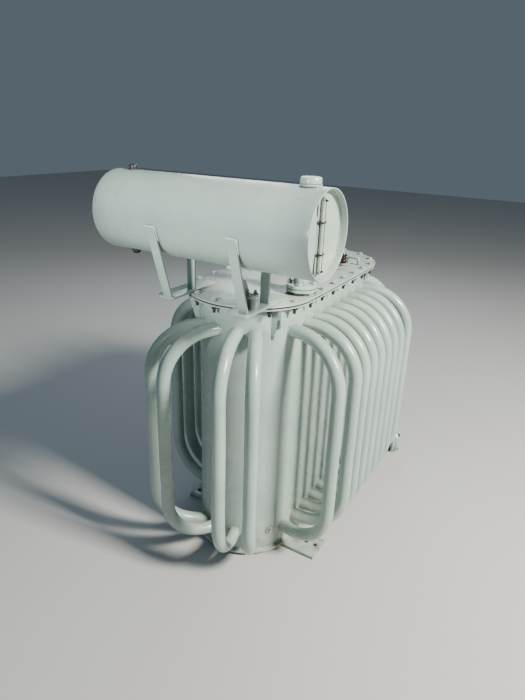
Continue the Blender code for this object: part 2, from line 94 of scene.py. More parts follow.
def meshObject(name, points, faces, smoothAngle):
    mesh = bpy.data.meshes.new(name)
    mesh.from_pydata([tuple(p) for p in points], [], faces)
    shadeRound(tidied(mesh), smoothAngle)
    return newObject(name, mesh)


def ringFaces(rows, count, closedRows=False):
    # quads between rings of points; an open run of rings gets a cap at each end
    faces = []
    for row in range(rows if closedRows else rows - 1):
        a, b = row * count, ((row + 1) % rows) * count
        faces += [(a + i, a + (i + 1) % count, b + (i + 1) % count, b + i) for i in range(count)]
    if not closedRows:
        faces.append(tuple(range(count))[::-1])
        faces.append(tuple((rows - 1) * count + i for i in range(count)))
    return faces


def turned(name, profile, steps, matrix, closed=False, smoothAngle=35.0):
    # profile: (radius, height) points, turned about the matrix's Z
    points = []
    for radius, height in profile:
        points += [matrix @ Vector((radius * math.cos(math.tau * i / steps),
                                    radius * math.sin(math.tau * i / steps), height))
                   for i in range(steps)]
    return meshObject(name, points, ringFaces(len(profile), steps, closed), smoothAngle)


def arcPoints(middle, radius, start, end, steps):
    # points on an arc, angles in degrees
    turns = [math.radians(start + (end - start) * i / steps) for i in range(steps + 1)]
    return [(middle[0] + radius * math.cos(turn), middle[1] + radius * math.sin(turn)) for turn in turns]


def boxObject(name, low, high, rounding):
    # a block between two corners, with rounded edges
    mesh = bpy.data.meshes.new(name)
    work = bmesh.new()
    bmesh.ops.create_cube(work, size=1.0)
    low, high = Vector(low), Vector(high)
    bmesh.ops.scale(work, vec=high - low, verts=work.verts)
    bmesh.ops.translate(work, vec=(high + low) / 2, verts=work.verts)
    bmesh.ops.bevel(work, geom=work.edges[:], offset=rounding, segments=meshWork["boxSegments"],
                    affect="EDGES", profile=meshWork["boxProfile"])
    work.to_mesh(mesh)
    work.free()
    shadeRound(mesh)
    return newObject(name, mesh)


def plateObject(name, loops, thick, matrix, rounding):
    # a flat outline, the first loop outside and the rest holes, with rounded edges
    curve = bpy.data.curves.new(name, "CURVE")
    curve.dimensions = "2D"
    curve.fill_mode = "BOTH"
    curve.extrude = thick / 2 - rounding
    curve.bevel_depth = rounding
    curve.bevel_resolution = meshWork["plateSegments"]
    curve.offset = -rounding
    for loop in loops:
        spline = curve.splines.new("POLY")
        spline.points.add(len(loop) - 1)
        for point, (x, y) in zip(spline.points, loop):
            point.co = (x, y, 0.0, 1.0)
        spline.use_cyclic_u = True
    outline = newObject(name + "Outline", curve)
    bpy.context.view_layer.update()
    mesh = bpy.data.meshes.new_from_object(outline.evaluated_get(bpy.context.evaluated_depsgraph_get()))
    bpy.data.objects.remove(outline, do_unlink=True)
    bpy.data.curves.remove(curve)
    mesh.transform(matrix @ Matrix.Translation((0.0, 0.0, thick / 2)))
    shadeRound(tidied(mesh), meshWork["plateAngle"])
    return newObject(name, mesh)


def sweep(name, path, radius, sides):
    # a round bar along a path of points
    points, up = [], Vector((0.0, 0.0, 1.0))
    for index, here in enumerate(path):
        before, after = path[max(index - 1, 0)], path[min(index + 1, len(path) - 1)]
        ahead = (after - before).normalized()
        if index == 0 and abs(ahead.dot(up)) > 0.9:
            up = Vector((1.0, 0.0, 0.0))
        up = (up - ahead * up.dot(ahead)).normalized()
        side = up.cross(ahead)
        turns = [math.tau * i / sides for i in range(sides)]
        points += [here + (side * math.cos(turn) + up * math.sin(turn)) * radius for turn in turns]
    return meshObject(name, points, ringFaces(len(path), sides), meshWork["barAngle"])


def joined(name, items):
    # several objects made one piece
    mesh = bpy.data.meshes.new(name)
    work = bmesh.new()
    for item in items:
        work.from_mesh(item.data)
    work.to_mesh(mesh)
    work.free()
    for item in items:
        data = item.data
        bpy.data.objects.remove(item, do_unlink=True)
        bpy.data.meshes.remove(data)
    return newObject(name, mesh)


def settle(item, finish, slotName, *nodes):
    # the finish of a piece, the body it rides on and the nodes it stands for
    item.data.materials.clear()
    item.data.materials.append(finish)
    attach(item, "root")
    if nodes:
        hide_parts(*nodes)


# sizes read from the frame

def span(node):
    low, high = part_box(node)
    return Vector(low), Vector(high)


wallLow, wallHigh = span("tank_wall")
tankRadius = (wallHigh.x - wallLow.x) / 2
endCentre = wallHigh.y - tankRadius
coverLow, coverHigh = span("cover_plate")
coverRadius = (coverHigh.x - coverLow.x) / 2
coverTop = coverHigh.z
drumLow, drumHigh = span("conservator_shell")
drumRadius = (drumHigh.z - drumLow.z) / 2
drumAxis = (drumLow + drumHigh) / 2
upZ = Vector((0.0, 0.0, 1.0))


def stadium(radius, arcSteps, straightSteps):
    # obround outline round the tank's two end centres, starting on the right at the near end
    points = []
    for end in (1, -1):
        for step in range(arcSteps):
            turn = math.pi * step / arcSteps
            points.append((end * radius * math.cos(turn), end * (endCentre + radius * math.sin(turn))))
        for step in range(straightSteps):
            along = 1 - 2 * step / straightSteps
            points.append((-end * radius, end * endCentre * along))
    return points


def stadiumPlace(radius, along):
    # a point of the outline and the way out there, a distance to the right of the near end's middle
    quarter, straight = radius * math.pi / 2, 2 * endCentre
    along %= 4 * quarter + 2 * straight
    if along > 2 * quarter + straight:
        point, out = stadiumPlace(radius, 4 * quarter + 2 * straight - along)
        return Vector((-point.x, point.y, 0.0)), Vector((-out.x, out.y, 0.0))
    if along < quarter:
        turn = along / radius
        out = Vector((math.sin(turn), -math.cos(turn), 0.0))
        return Vector((0.0, -endCentre, 0.0)) + out * radius, out
    if along < quarter + straight:
        return Vector((radius, -endCentre + along - quarter, 0.0)), Vector((1.0, 0.0, 0.0))
    turn = (along - quarter - straight) / radius
    out = Vector((math.cos(turn), math.sin(turn), 0.0))
    return Vector((0.0, endCentre, 0.0)) + out * radius, out


def stadiumLength(radius):
    return math.tau * radius + 4 * endCentre


def roundedEnd(angle, end, distance, height):
    # a point off a rounded end's centre, its angle measured from the tank's long axis
    turn = math.radians(angle)
    return Vector((distance * math.sin(turn), end * (endCentre + distance * math.cos(turn)), height))


# node helpers for finishes and for geometry trees

def addNode(tree, kind, given=None, **settings):
    # given: input name or number to a value or to another node's output
    node = tree.nodes.new(kind)
    for key, value in settings.items():
        setattr(node, key, value)
    for key, value in (given or {}).items():
        if isinstance(value, bpy.types.NodeSocket):
            tree.links.new(value, node.inputs[key])
        else:
            node.inputs[key].default_value = value
    return node


def newTree(name, inputs):
    tree = bpy.data.node_groups.new(name, "GeometryNodeTree")
    tree.interface.new_socket("Geometry", in_out="INPUT", socket_type="NodeSocketGeometry")
    for label, kind in inputs.items():
        tree.interface.new_socket(label, in_out="INPUT", socket_type="NodeSocket" + kind)
    tree.interface.new_socket("Geometry", in_out="OUTPUT", socket_type="NodeSocketGeometry")
    return tree, tree.nodes.new("NodeGroupInput").outputs, tree.nodes.new("NodeGroupOutput").inputs


def grown(name, base, tree, values):
    # the tree's result on a base object as a plain mesh object; the base goes
    modifier = base.modifiers.new(name, "NODES")
    modifier.node_group = tree
    for socket in tree.interface.items_tree:
        if socket.in_out == "INPUT" and socket.name in values:
            modifier[socket.identifier] = values[socket.name]
    bpy.context.view_layer.update()
    mesh = bpy.data.meshes.new_from_object(base.evaluated_get(bpy.context.evaluated_depsgraph_get()))
    data = base.data
    bpy.data.objects.remove(base, do_unlink=True)
    bpy.data.meshes.remove(data)
    return newObject(name, mesh)


treeNoise = {"bar": {"Scale": 5.0, "Detail": 1.0}, "bead": {"Scale": 130.0, "Detail": 1.0}}


def sweepTree():
    # wires swept to round bars, with filleted corners and a little wander
    tree, given, made = newTree("sweptBars", {
        "Bar Radius": "Float", "Bend Radius": "Float", "Bend Steps": "Int", "Step": "Float", "Sides": "Int",
        "Wander": "Float", "Finish": "Material"})
    wires = addNode(tree, "GeometryNodeMeshToCurve", {"Mesh": given["Geometry"]})
    bent = addNode(tree, "GeometryNodeFilletCurve",
                   {"Curve": wires.outputs[0], "Count": given["Bend Steps"], "Radius": given["Bend Radius"],
                    "Limit Radius": True}, mode="POLY")
    even = addNode(tree, "GeometryNodeResampleCurve", {"Curve": bent.outputs[0], "Length": given["Step"]},
                   mode="LENGTH")
    drift = addNode(tree, "ShaderNodeTexNoise", treeNoise["bar"], noise_dimensions="3D")
    centred = addNode(tree, "ShaderNodeVectorMath", {0: drift.outputs["Color"], 1: (0.5, 0.5, 0.5)},
                      operation="SUBTRACT")
    offset = addNode(tree, "ShaderNodeVectorMath", {0: centred.outputs[0], "Scale": given["Wander"]},
                     operation="SCALE")
    moved = addNode(tree, "GeometryNodeSetPosition",
                    {"Geometry": even.outputs[0], "Offset": offset.outputs[0]})
    ring = addNode(tree, "GeometryNodeCurvePrimitiveCircle",
                   {"Resolution": given["Sides"], "Radius": given["Bar Radius"]})
    bar = addNode(tree, "GeometryNodeCurveToMesh",
                  {"Curve": moved.outputs[0], "Profile Curve": ring.outputs[0], "Fill Caps": True})
    finishTree(tree, bar.outputs[0], given, made)
    return tree


def finishTree(tree, geometry, given, made):
    # smooth shading, real geometry and the finish, at the end of a tree
    soft = addNode(tree, "GeometryNodeSetShadeSmooth", {"Geometry": geometry, "Shade Smooth": True})
    real = addNode(tree, "GeometryNodeRealizeInstances", {"Geometry": soft.outputs[0]})
    coated = addNode(tree, "GeometryNodeSetMaterial",
                     {"Geometry": real.outputs[0], "Material": given["Finish"]})
    tree.links.new(coated.outputs[0], made["Geometry"])


def weldTree():
    # rippled beads along wires; each point of a wire carries its bead's size
    tree, given, made = newTree("weldBeads", {"Step": "Float", "Ripple": "Float", "Sides": "Int",
                                              "Finish": "Material"})
    wires = addNode(tree, "GeometryNodeMeshToCurve", {"Mesh": given["Geometry"]})
    even = addNode(tree, "GeometryNodeResampleCurve", {"Curve": wires.outputs[0], "Length": given["Step"]},
                   mode="LENGTH")
    size = addNode(tree, "GeometryNodeInputNamedAttribute", {"Name": "beadSize"}, data_type="FLOAT")
    uneven = addNode(tree, "ShaderNodeTexNoise", treeNoise["bead"], noise_dimensions="3D")
    swell = addNode(tree, "ShaderNodeMath", {0: uneven.outputs[0], 1: 0.5}, operation="SUBTRACT")
    share = addNode(tree, "ShaderNodeMath", {0: swell.outputs[0], 1: given["Ripple"], 2: 1.0},
                    operation="MULTIPLY_ADD")
    scale = addNode(tree, "ShaderNodeMath", {0: share.outputs[0], 1: size.outputs[0]}, operation="MULTIPLY")
    ring = addNode(tree, "GeometryNodeCurvePrimitiveCircle", {"Resolution": given["Sides"], "Radius": 1.0})
    bead = addNode(tree, "GeometryNodeCurveToMesh",
                   {"Curve": even.outputs[0], "Profile Curve": ring.outputs[0], "Scale": scale.outputs[0],
                    "Fill Caps": True})
    finishTree(tree, bead.outputs[0], given, made)
    return tree


# a hexagon's plain and chamfered shares of its height, and the chamfer's share of its width at the top
hexShape = {"straight": 0.82, "chamfer": 0.18, "chamferTop": 0.86, "washerSides": 18, "threadSides": 10}


def fastenerTree():
    # a washer, a hexagon with a chamfer and a threaded end on every point, each turned at random
    tree, given, made = newTree("fasteners", {
        "Flats": "Float", "Hex Height": "Float", "Washer Radius": "Float", "Washer Thick": "Float",
        "Thread Radius": "Float", "Thread Out": "Float", "Seed": "Int", "Finish": "Material"})

    def worked(operation, a, b):
        return addNode(tree, "ShaderNodeMath", {0: a, 1: b}, operation=operation).outputs[0]

    def barrel(sides, radius, depth):
        return addNode(tree, "GeometryNodeMeshCylinder",
                       {"Vertices": sides, "Radius": radius, "Depth": depth}).outputs[0]

    def lifted(mesh, height):
        up = addNode(tree, "ShaderNodeCombineXYZ", {"Z": height})
        raised = addNode(tree, "GeometryNodeTransform", {"Geometry": mesh, "Translation": up.outputs[0]})
        return raised.outputs[0]

    washerThick, hexHeight = given["Washer Thick"], given["Hex Height"]
    corner = worked("DIVIDE", given["Flats"], math.sqrt(3.0))
    washer = barrel(hexShape["washerSides"], given["Washer Radius"], washerThick)
    lowHex = worked("MULTIPLY", hexHeight, hexShape["straight"])
    hexagon = barrel(6, corner, lowHex)
    chamfer = addNode(tree, "GeometryNodeMeshCone", {
        "Vertices": 6, "Radius Bottom": corner,
        "Radius Top": worked("MULTIPLY", corner, hexShape["chamferTop"]),
        "Depth": worked("MULTIPLY", hexHeight, hexShape["chamfer"])})
    threadLong = worked("ADD", worked("ADD", washerThick, hexHeight), given["Thread Out"])
    thread = barrel(hexShape["threadSides"], given["Thread Radius"], threadLong)
    parts = addNode(tree, "GeometryNodeJoinGeometry")
    for piece in (lifted(washer, worked("MULTIPLY", washerThick, 0.5)),
                  lifted(hexagon, worked("ADD", washerThick, worked("MULTIPLY", lowHex, 0.5))),
                  lifted(chamfer.outputs[0], worked("ADD", washerThick, lowHex)),
                  lifted(thread, worked("MULTIPLY", threadLong, 0.5))):
        tree.links.new(piece, parts.inputs[0])
    facing = addNode(tree, "GeometryNodeInputNamedAttribute", {"Name": "facing"}, data_type="FLOAT_VECTOR")
    aimed = addNode(tree, "FunctionNodeAlignRotationToVector", {"Vector": facing.outputs[0]}, axis="Z")
    spin = addNode(tree, "FunctionNodeRandomValue", {2: 0.0, 3: math.tau, "Seed": given["Seed"]},
                   data_type="FLOAT")
    spun = addNode(tree, "FunctionNodeAxisAngleToRotation",
                   {"Axis": (0.0, 0.0, 1.0), "Angle": spin.outputs[1]})
    turn = addNode(tree, "FunctionNodeRotateRotation", {0: aimed.outputs[0], 1: spun.outputs[0]},
                   rotation_space="LOCAL")
    placed = addNode(tree, "GeometryNodeInstanceOnPoints",
                     {"Points": given["Geometry"], "Instance": parts.outputs[0],
                      "Rotation": turn.outputs[0]})
    real = addNode(tree, "GeometryNodeRealizeInstances", {"Geometry": placed.outputs[0]})
    flat = addNode(tree, "GeometryNodeSetShadeSmooth", {"Geometry": real.outputs[0], "Shade Smooth": False})
    coated = addNode(tree, "GeometryNodeSetMaterial",
                     {"Geometry": flat.outputs[0], "Material": given["Finish"]})
    tree.links.new(coated.outputs[0], made["Geometry"])
    return tree


barSweep, beadSweep, fastening = sweepTree(), weldTree(), fastenerTree()


def wireObject(name, wires):
    # wires: (points, closed) pairs as loose edges
    points, edges = [], []
    for path, closed in wires:
        first = len(points)
        points += [tuple(p) for p in path]
        edges += [(first + i, first + i + 1) for i in range(len(path) - 1)]
        if closed:
            edges.append((first + len(path) - 1, first))
    mesh = bpy.data.meshes.new(name)
    mesh.from_pydata(points, edges, [])
    return newObject(name, mesh)


beadSides = 6


def beads(name, wires, finish, step=0.0035, ripple=0.9):
    # wires: (points, closed, bead size)
    base = wireObject(name, [(path, closed) for path, closed, size in wires])
    sizes = base.data.attributes.new("beadSize", "FLOAT", "POINT")
    sizes.data.foreach_set("value", [size for path, closed, size in wires for point in path])
    return grown(name, base, beadSweep,
                 {"Step": step, "Ripple": ripple, "Sides": beadSides, "Finish": finish})


def fasteners(name, places, sizes, finish, seed):
    # places: (point, facing) pairs
    mesh = bpy.data.meshes.new(name)
    mesh.from_pydata([tuple(p) for p, facing in places], [], [])
    facing = mesh.attributes.new("facing", "FLOAT_VECTOR", "POINT")
    facing.data.foreach_set("vector", [value for p, out in places for value in out])
    values = {"Flats": sizes["flats"], "Hex Height": sizes["hexHeight"],
              "Washer Radius": sizes["washerRadius"], "Washer Thick": sizes["washerThick"],
              "Thread Radius": sizes["threadRadius"], "Thread Out": sizes["threadOut"],
              "Seed": seed, "Finish": finish}
    return grown(name, newObject(name + "Points", mesh), fastening, values)


# finishes: all patterns read object coordinates, and every piece sits at the origin

patternRough = 0.55


def newFinish(name):
    finish = bpy.data.materials.new(name)
    finish.use_nodes = True
    tree = finish.node_tree
    return finish, tree, tree.nodes["Principled BSDF"].inputs


def pattern(tree, scale, detail, stretch=(1.0, 1.0, 1.0), shift=(0.0, 0.0, 0.0)):
    # noise on the piece, stretched or shifted
    place = addNode(tree, "ShaderNodeTexCoord")
    laid = addNode(tree, "ShaderNodeMapping",
                   {"Vector": place.outputs["Object"], "Scale": stretch, "Location": shift})
    return addNode(tree, "ShaderNodeTexNoise", {"Vector": laid.outputs[0], "Scale": scale, "Detail": detail,
                                                "Roughness": patternRough}).outputs["Fac"]


def ranged(tree, value, low, high, toLow, toHigh):
    return addNode(tree, "ShaderNodeMapRange", {"Value": value, "From Min": low, "From Max": high,
                                                "To Min": toLow, "To Max": toHigh}).outputs[0]


def spread(tree, grain, most=1.0, stretch=(1.0, 1.0, 1.0), shift=(0.0, 0.0, 0.0), least=0.0):
    # grain: a noise's scale and detail, and the low and high of it that count
    scale, detail, low, high = grain
    return ranged(tree, pattern(tree, scale, detail, stretch, shift), low, high, least, most)


def times(tree, a, b):
    return addNode(tree, "ShaderNodeMath", {0: a, 1: b}, operation="MULTIPLY", use_clamp=True).outputs[0]


def layered(tree, share, under, over):
    # over laid on under by a share; both are colours or sockets
    mixer = tree.nodes.new("ShaderNodeMix")
    mixer.data_type = "RGBA"
    tree.links.new(share, mixer.inputs["Factor"])
    for index, value in ((6, under), (7, over)):
        if isinstance(value, bpy.types.NodeSocket):
            tree.links.new(value, mixer.inputs[index])
        else:
            mixer.inputs[index].default_value = (*value, 1.0)
    return mixer.outputs[2]


def bumped(tree, height, strength, distance, under=None, invert=False):
    # a bump of this height laid on the one under it
    given = {"Strength": strength, "Distance": distance, "Height": height}
    if under is not None:
        given["Normal"] = under
    return addNode(tree, "ShaderNodeBump", given, invert=invert).outputs[0]


# the dark colour laid in corners and gaps by ambient occlusion is painted shade, partly dirt
paintLook = {"base": (0.310, 0.405, 0.370), "pale": (0.375, 0.465, 0.415), "deep": (0.245, 0.330, 0.312),
             "dust": (0.46, 0.44, 0.37), "grimeAndShade": (0.085, 0.095, 0.085), "soil": (0.20, 0.135, 0.085),
             "rust": (0.17, 0.060, 0.022),
             "paleGrain": (2.6, 4.0, 0.42, 0.66), "deepGrain": (9.0, 5.0, 0.52, 0.80),
             "runGrain": (24.0, 3.0, 0.56, 0.74), "grimeAndShadeGrain": (30.0, 4.0, 0.30, 0.62),
             "dustGrain": (13.0, 6.0, 0.38, 0.66), "soilGrain": (20.0, 6.0, 0.44, 0.68),
             "rustGrain": (62.0, 5.0, 0.80, 0.84), "roughGrain": (7.0, 5.0, 0.30, 0.72),
             "deepMost": 0.55, "runMost": 0.42, "grimeAndShadeMost": 0.75, "dustMost": 0.62, "soilMost": 0.85,
             "corners": 0.030, "cornerOpen": (0.90, 0.35), "dustFacing": (0.45, 0.98), "soilHeight": 0.22,
             "chipping": 0.07, "rough": (0.15, 0.36), "dustRough": 0.45, "soilRough": 0.40,
             "rustRough": 0.30, "rustPit": (0.5, 0.0008),
             # scale, detail, stretch, strength and distance of the peel, the brushing and the waves
             "relief": ((240.0, 2.0, 1.0, 0.22, 0.0006), (26.0, 4.0, 0.35, 0.16, 0.0030),
                        (7.5, 2.0, 1.0, 0.22, 0.008))}
# a paler copy of the paint for the welds on the bracket heads, a painted highlight
weldHighlightLook = {**paintLook, "base": (0.50, 0.58, 0.52), "pale": (0.56, 0.63, 0.57)}
# a paler, yellower copy of the paint for the gauge guard, a painted highlight
guardHighlightLook = {**paintLook, "base": (0.46, 0.52, 0.45), "pale": (0.52, 0.57, 0.50)}


def paintFinish(name, look, grimeAndShade, dust, chips=0.0):
    finish, tree, shader = newFinish(name)
    here = addNode(tree, "ShaderNodeTexCoord").outputs["Object"]
    height = addNode(tree, "ShaderNodeSeparateXYZ", {0: here}).outputs["Z"]
    normal = addNode(tree, "ShaderNodeNewGeometry").outputs["Normal"]
    facing = addNode(tree, "ShaderNodeSeparateXYZ", {0: normal}).outputs["Z"]
    # the coat itself: paler and deeper patches, and runs down the sides; the shifts keep patterns apart
    color = layered(tree, spread(tree, look["paleGrain"]), look["base"], look["pale"])
    patches = spread(tree, look["deepGrain"], look["deepMost"], shift=(3.1, 0.4, 1.7))
    color = layered(tree, patches, color, look["deep"])
    runs = spread(tree, look["runGrain"], look["runMost"] * grimeAndShade, (1.0, 1.0, 0.07), (0.3, 2.2, 0.0))
    color = layered(tree, runs, color, look["deep"])
    # painted shade and dirt in the corners and gaps from ambient occlusion, dust on what faces up, soil near
    # the floor and flecks of rust
    cavity = addNode(tree, "ShaderNodeAmbientOcclusion", {"Distance": look["corners"]}, samples=6)
    cornerGrimeAndShade = ranged(tree, cavity.outputs["AO"], *look["cornerOpen"], 0.0, look["grimeAndShadeMost"] * grimeAndShade)
    color = layered(tree, times(tree, cornerGrimeAndShade, spread(tree, look["grimeAndShadeGrain"])), color, look["grimeAndShade"])
    dusty = ranged(tree, facing, *look["dustFacing"], 0.0, look["dustMost"] * dust)
    settled = times(tree, dusty, spread(tree, look["dustGrain"]))
    color = layered(tree, settled, color, look["dust"])
    splash = times(tree, ranged(tree, height, look["soilHeight"], 0.0, 0.0, look["soilMost"]),
                   spread(tree, look["soilGrain"], shift=(1.0, 5.0, 2.0)))
    color = layered(tree, splash, color, look["soil"])
    scale, detail, low, high = look["rustGrain"]
    chipped = look["chipping"] * chips
    fleck = spread(tree, (scale, detail, low - chipped, high - chipped), shift=(7.0, 1.0, 4.0))
    tree.links.new(layered(tree, fleck, color, look["rust"]), shader["Base Color"])
    least, most = look["rough"]
    rough = spread(tree, look["roughGrain"], most, shift=(2.0, 2.0, 9.0), least=least)
    for share, kind in ((settled, "dustRough"), (splash, "soilRough"), (fleck, "rustRough")):
        rough = addNode(tree, "ShaderNodeMath", {0: share, 1: look[kind], 2: rough},
                        operation="MULTIPLY_ADD").outputs[0]
    tree.links.new(rough, shader["Roughness"])
    relief = None
    for scale, detail, along, strength, distance in look["relief"]:
        relief = bumped(tree, pattern(tree, scale, detail, (1.0, 1.0, along)), strength, distance, relief)
    tree.links.new(bumped(tree, fleck, *look["rustPit"], relief, invert=True), shader["Normal"])
    return finish


metalLook = {"toneGrain": (210.0, 3.0, 0.35, 0.7), "rustGrain": (75.0, 5.0, 0.60, 0.72),
             "rustMore": (0.25, 0.20), "relief": (190.0, 4.0), "bump": (0.35, 0.0008), "deeper": 0.62,
             "metallic": 0.75, "rustRough": 0.85}


def metalFinish(name, base, rusty, rust, gloss):
    finish, tree, shader = newFinish(name)
    scale, detail, low, high = metalLook["rustGrain"]
    lowMore, highMore = metalLook["rustMore"]
    patches = spread(tree, (scale, detail, low - lowMore * rusty, high - highMore * rusty))
    color = layered(tree, spread(tree, metalLook["toneGrain"]), base,
                    tuple(metalLook["deeper"] * c for c in base))
    tree.links.new(layered(tree, patches, color, rust), shader["Base Color"])
    shader["Metallic"].default_value = metalLook["metallic"]
    tree.links.new(ranged(tree, patches, 0.0, 1.0, gloss, metalLook["rustRough"]), shader["Roughness"])
    relief = bumped(tree, pattern(tree, *metalLook["relief"]), *metalLook["bump"])
    tree.links.new(relief, shader["Normal"])
    return finish


glazeLook = {"base": (0.016, 0.010, 0.009), "pale": (0.032, 0.018, 0.013), "dust": (0.20, 0.17, 0.14),
             "toneGrain": (16.0, 5.0, 0.35, 0.75), "dustGrain": (30.0, 5.0, 0.25, 0.85),
             "dustFacing": (0.3, 0.95), "dustMost": 0.22, "dustFull": 0.3, "rough": (0.10, 0.45),
             "relief": (60.0, 2.0), "bump": (0.12, 0.0010), "coat": 0.6, "coatRough": 0.06}


def glazeFinish(name, look):
    finish, tree, shader = newFinish(name)
    color = layered(tree, spread(tree, look["toneGrain"]), look["base"], look["pale"])
    normal = addNode(tree, "ShaderNodeNewGeometry").outputs["Normal"]
    facing = addNode(tree, "ShaderNodeSeparateXYZ", {0: normal}).outputs["Z"]
    settled = times(tree, ranged(tree, facing, *look["dustFacing"], 0.0, look["dustMost"]),
                    spread(tree, look["dustGrain"]))
    tree.links.new(layered(tree, settled, color, look["dust"]), shader["Base Color"])
    tree.links.new(ranged(tree, settled, 0.0, look["dustFull"], *look["rough"]), shader["Roughness"])
    shader["Coat Weight"].default_value = look["coat"]
    shader["Coat Roughness"].default_value = look["coatRough"]
    tree.links.new(bumped(tree, pattern(tree, *look["relief"]), *look["bump"]), shader["Normal"])
    return finish


# dark rubber for the seals; the same finish also paints the shadow strips round the oil gauge and the shadow
# line under the cover
rubberAndShadeLook = {"base": (0.012, 0.013, 0.014), "pale": (0.040, 0.038, 0.034),
              "toneGrain": (40.0, 4.0, 0.35, 0.70), "roughGrain": (90.0, 3.0, 0.3, 0.7),
              "rough": (0.62, 0.88), "relief": (160.0, 3.0), "bump": (0.4, 0.0008)}


def rubberFinish(name, look):
    finish, tree, shader = newFinish(name)
    color = layered(tree, spread(tree, look["toneGrain"]), look["base"], look["pale"])
    tree.links.new(color, shader["Base Color"])
    least, most = look["rough"]
    tree.links.new(spread(tree, look["roughGrain"], most, least=least), shader["Roughness"])
    tree.links.new(bumped(tree, pattern(tree, *look["relief"]), *look["bump"]), shader["Normal"])
    return finish


glassLook = {"color": (0.80, 0.86, 0.80), "clear": 0.85, "refraction": 1.47,
             "smearGrain": (120.0, 4.0, 0.35, 0.75), "rough": (0.04, 0.30)}


def glassFinish(name, look):
    finish, tree, shader = newFinish(name)
    shader["Base Color"].default_value = (*look["color"], 1.0)
    shader["Transmission Weight"].default_value = look["clear"]
    shader["IOR"].default_value = look["refraction"]
    least, most = look["rough"]
    tree.links.new(spread(tree, look["smearGrain"], most, least=least), shader["Roughness"])
    return finish


# the runs and the painted corner shade share one strength
tankPaint = paintFinish("tankPaint", paintLook, grimeAndShade=0.8, dust=0.5)
fittingPaint = paintFinish("fittingPaint", paintLook, grimeAndShade=1.2, dust=0.9, chips=0.7)
boltPaint = paintFinish("boltPaint", paintLook, grimeAndShade=1.2, dust=0.5, chips=1.2)
weldHighlightPaint = paintFinish("weldHighlightPaint", weldHighlightLook, grimeAndShade=0.4, dust=0.2)
guardHighlightPaint = paintFinish("guardHighlightPaint", guardHighlightLook, grimeAndShade=0.5, dust=0.3, chips=0.5)
blackSteelAndShade = metalFinish("blackSteelAndShade", (0.060, 0.064, 0.066), 0.25, (0.060, 0.034, 0.022), 0.42)
clampMetal = metalFinish("clampMetal", (0.16, 0.15, 0.13), 0.45, (0.10, 0.050, 0.026), 0.40)
plainSteel = metalFinish("plainSteel", (0.55, 0.55, 0.53), 0.25, (0.16, 0.09, 0.05), 0.28)
darkGasketAndShade = rubberFinish("darkGasketAndShade", rubberAndShadeLook)
gaugeGlass = glassFinish("gaugeGlass", glassLook)
brownGlaze = glazeFinish("brownGlaze", glazeLook)
print("finishes made")


# tank wall: an open obround shell with slightly uneven sheet, stood on its bottom plate

wallSheet = {"thick": 0.005, "arcSteps": 56, "straightSteps": 22, "rows": 44, "uneven": 0.0011,
             "waveAcross": 4.5, "waveUp": 3.5, "inward": 0.2, "most": 0.0004, "smoothAngle": 50.0}


def makeWall(sheet):
    outline = stadium(tankRadius, sheet["arcSteps"], sheet["straightSteps"])
    inner = stadium(tankRadius - sheet["thick"], sheet["arcSteps"], sheet["straightSteps"])
    across, up = sheet["waveAcross"], sheet["waveUp"]
    rings = []
    for row in range(sheet["rows"] + 1):
        share = row / sheet["rows"]
        z = wallLow.z + (wallHigh.z - wallLow.z) * share
        ring = []
        for x, y in outline:
            wave = noise.noise(Vector((x * across, y * across, z * up))) - sheet["inward"]
            bulge = wave * sheet["uneven"] * math.sin(math.pi * share)
            out = Vector((x, y - max(-endCentre, min(endCentre, y)), 0.0)).normalized()
            ring.append(Vector((x, y, z)) + out * min(bulge, sheet["most"]))
        rings.append(ring)
    rings += [[Vector((x, y, wallHigh.z)) for x, y in inner], [Vector((x, y, wallLow.z)) for x, y in inner]]
    wall = meshObject("tankWall", [point for ring in rings for point in ring],
                      ringFaces(len(rings), len(outline), True), sheet["smoothAngle"])
    settle(wall, tankPaint, "paint", "tank_wall")


makeWall(wallSheet)


# bottom plate, rim flange, gasket and cover, all obround with rounded edges

rimLayers = {"edge": 0.0018, "flangeBack": 0.003, "flangeGap": 0.0004, "flangeThinner": 0.0008,
             "flangeEdge": 0.0010, "gasketBack": 0.0045, "gasketWide": 0.036, "gasketEdge": 0.0008,
             "shadowLineDrop": 0.0028, "arcSteps": 64, "straightSteps": 8}


def makeRim(layers):
    def ring(radius):
        return stadium(radius, layers["arcSteps"], layers["straightSteps"])

    def lifted(height):
        return Matrix.Translation((0, 0, height))

    shadowLineDrop, thinner = layers["shadowLineDrop"], layers["flangeThinner"]
    low, high = span("tank_bottom_plate")
    plate = plateObject("bottomPlate", [ring((high.x - low.x) / 2)], high.z - low.z, lifted(low.z),
                        layers["edge"])
    settle(plate, tankPaint, "paint", "tank_bottom_plate")
    # the flange is dropped and the dark rubber ring under the cover made deeper than its part, so its edge
    # also paints the shadow line under the cover
    low, high = span("tank_rim_flange")
    loops = [ring(coverRadius - layers["flangeBack"]), ring(tankRadius + layers["flangeGap"])[::-1]]
    flange = plateObject("rimFlange", loops, high.z - low.z - thinner, lifted(low.z - shadowLineDrop + thinner),
                         layers["flangeEdge"])
    settle(flange, fittingPaint, "paint", "tank_rim_flange")
    low, high = span("rim_gasket")
    loops = [ring(coverRadius - layers["gasketBack"]), ring(coverRadius - layers["gasketWide"])[::-1]]
    gasket = plateObject("rimGasket", loops, high.z - low.z + shadowLineDrop, lifted(low.z - shadowLineDrop), layers["gasketEdge"])
    settle(gasket, darkGasketAndShade, "gasket", "rim_gasket")
    cover = plateObject("coverPlate", [ring(coverRadius)], coverHigh.z - coverLow.z, lifted(coverLow.z),
                        layers["edge"])
    settle(cover, fittingPaint, "paint", "cover_plate")


makeRim(rimLayers)
print("tank and cover made")


# cooling tubes: wires with two square corners, filleted and swept by the geometry tree

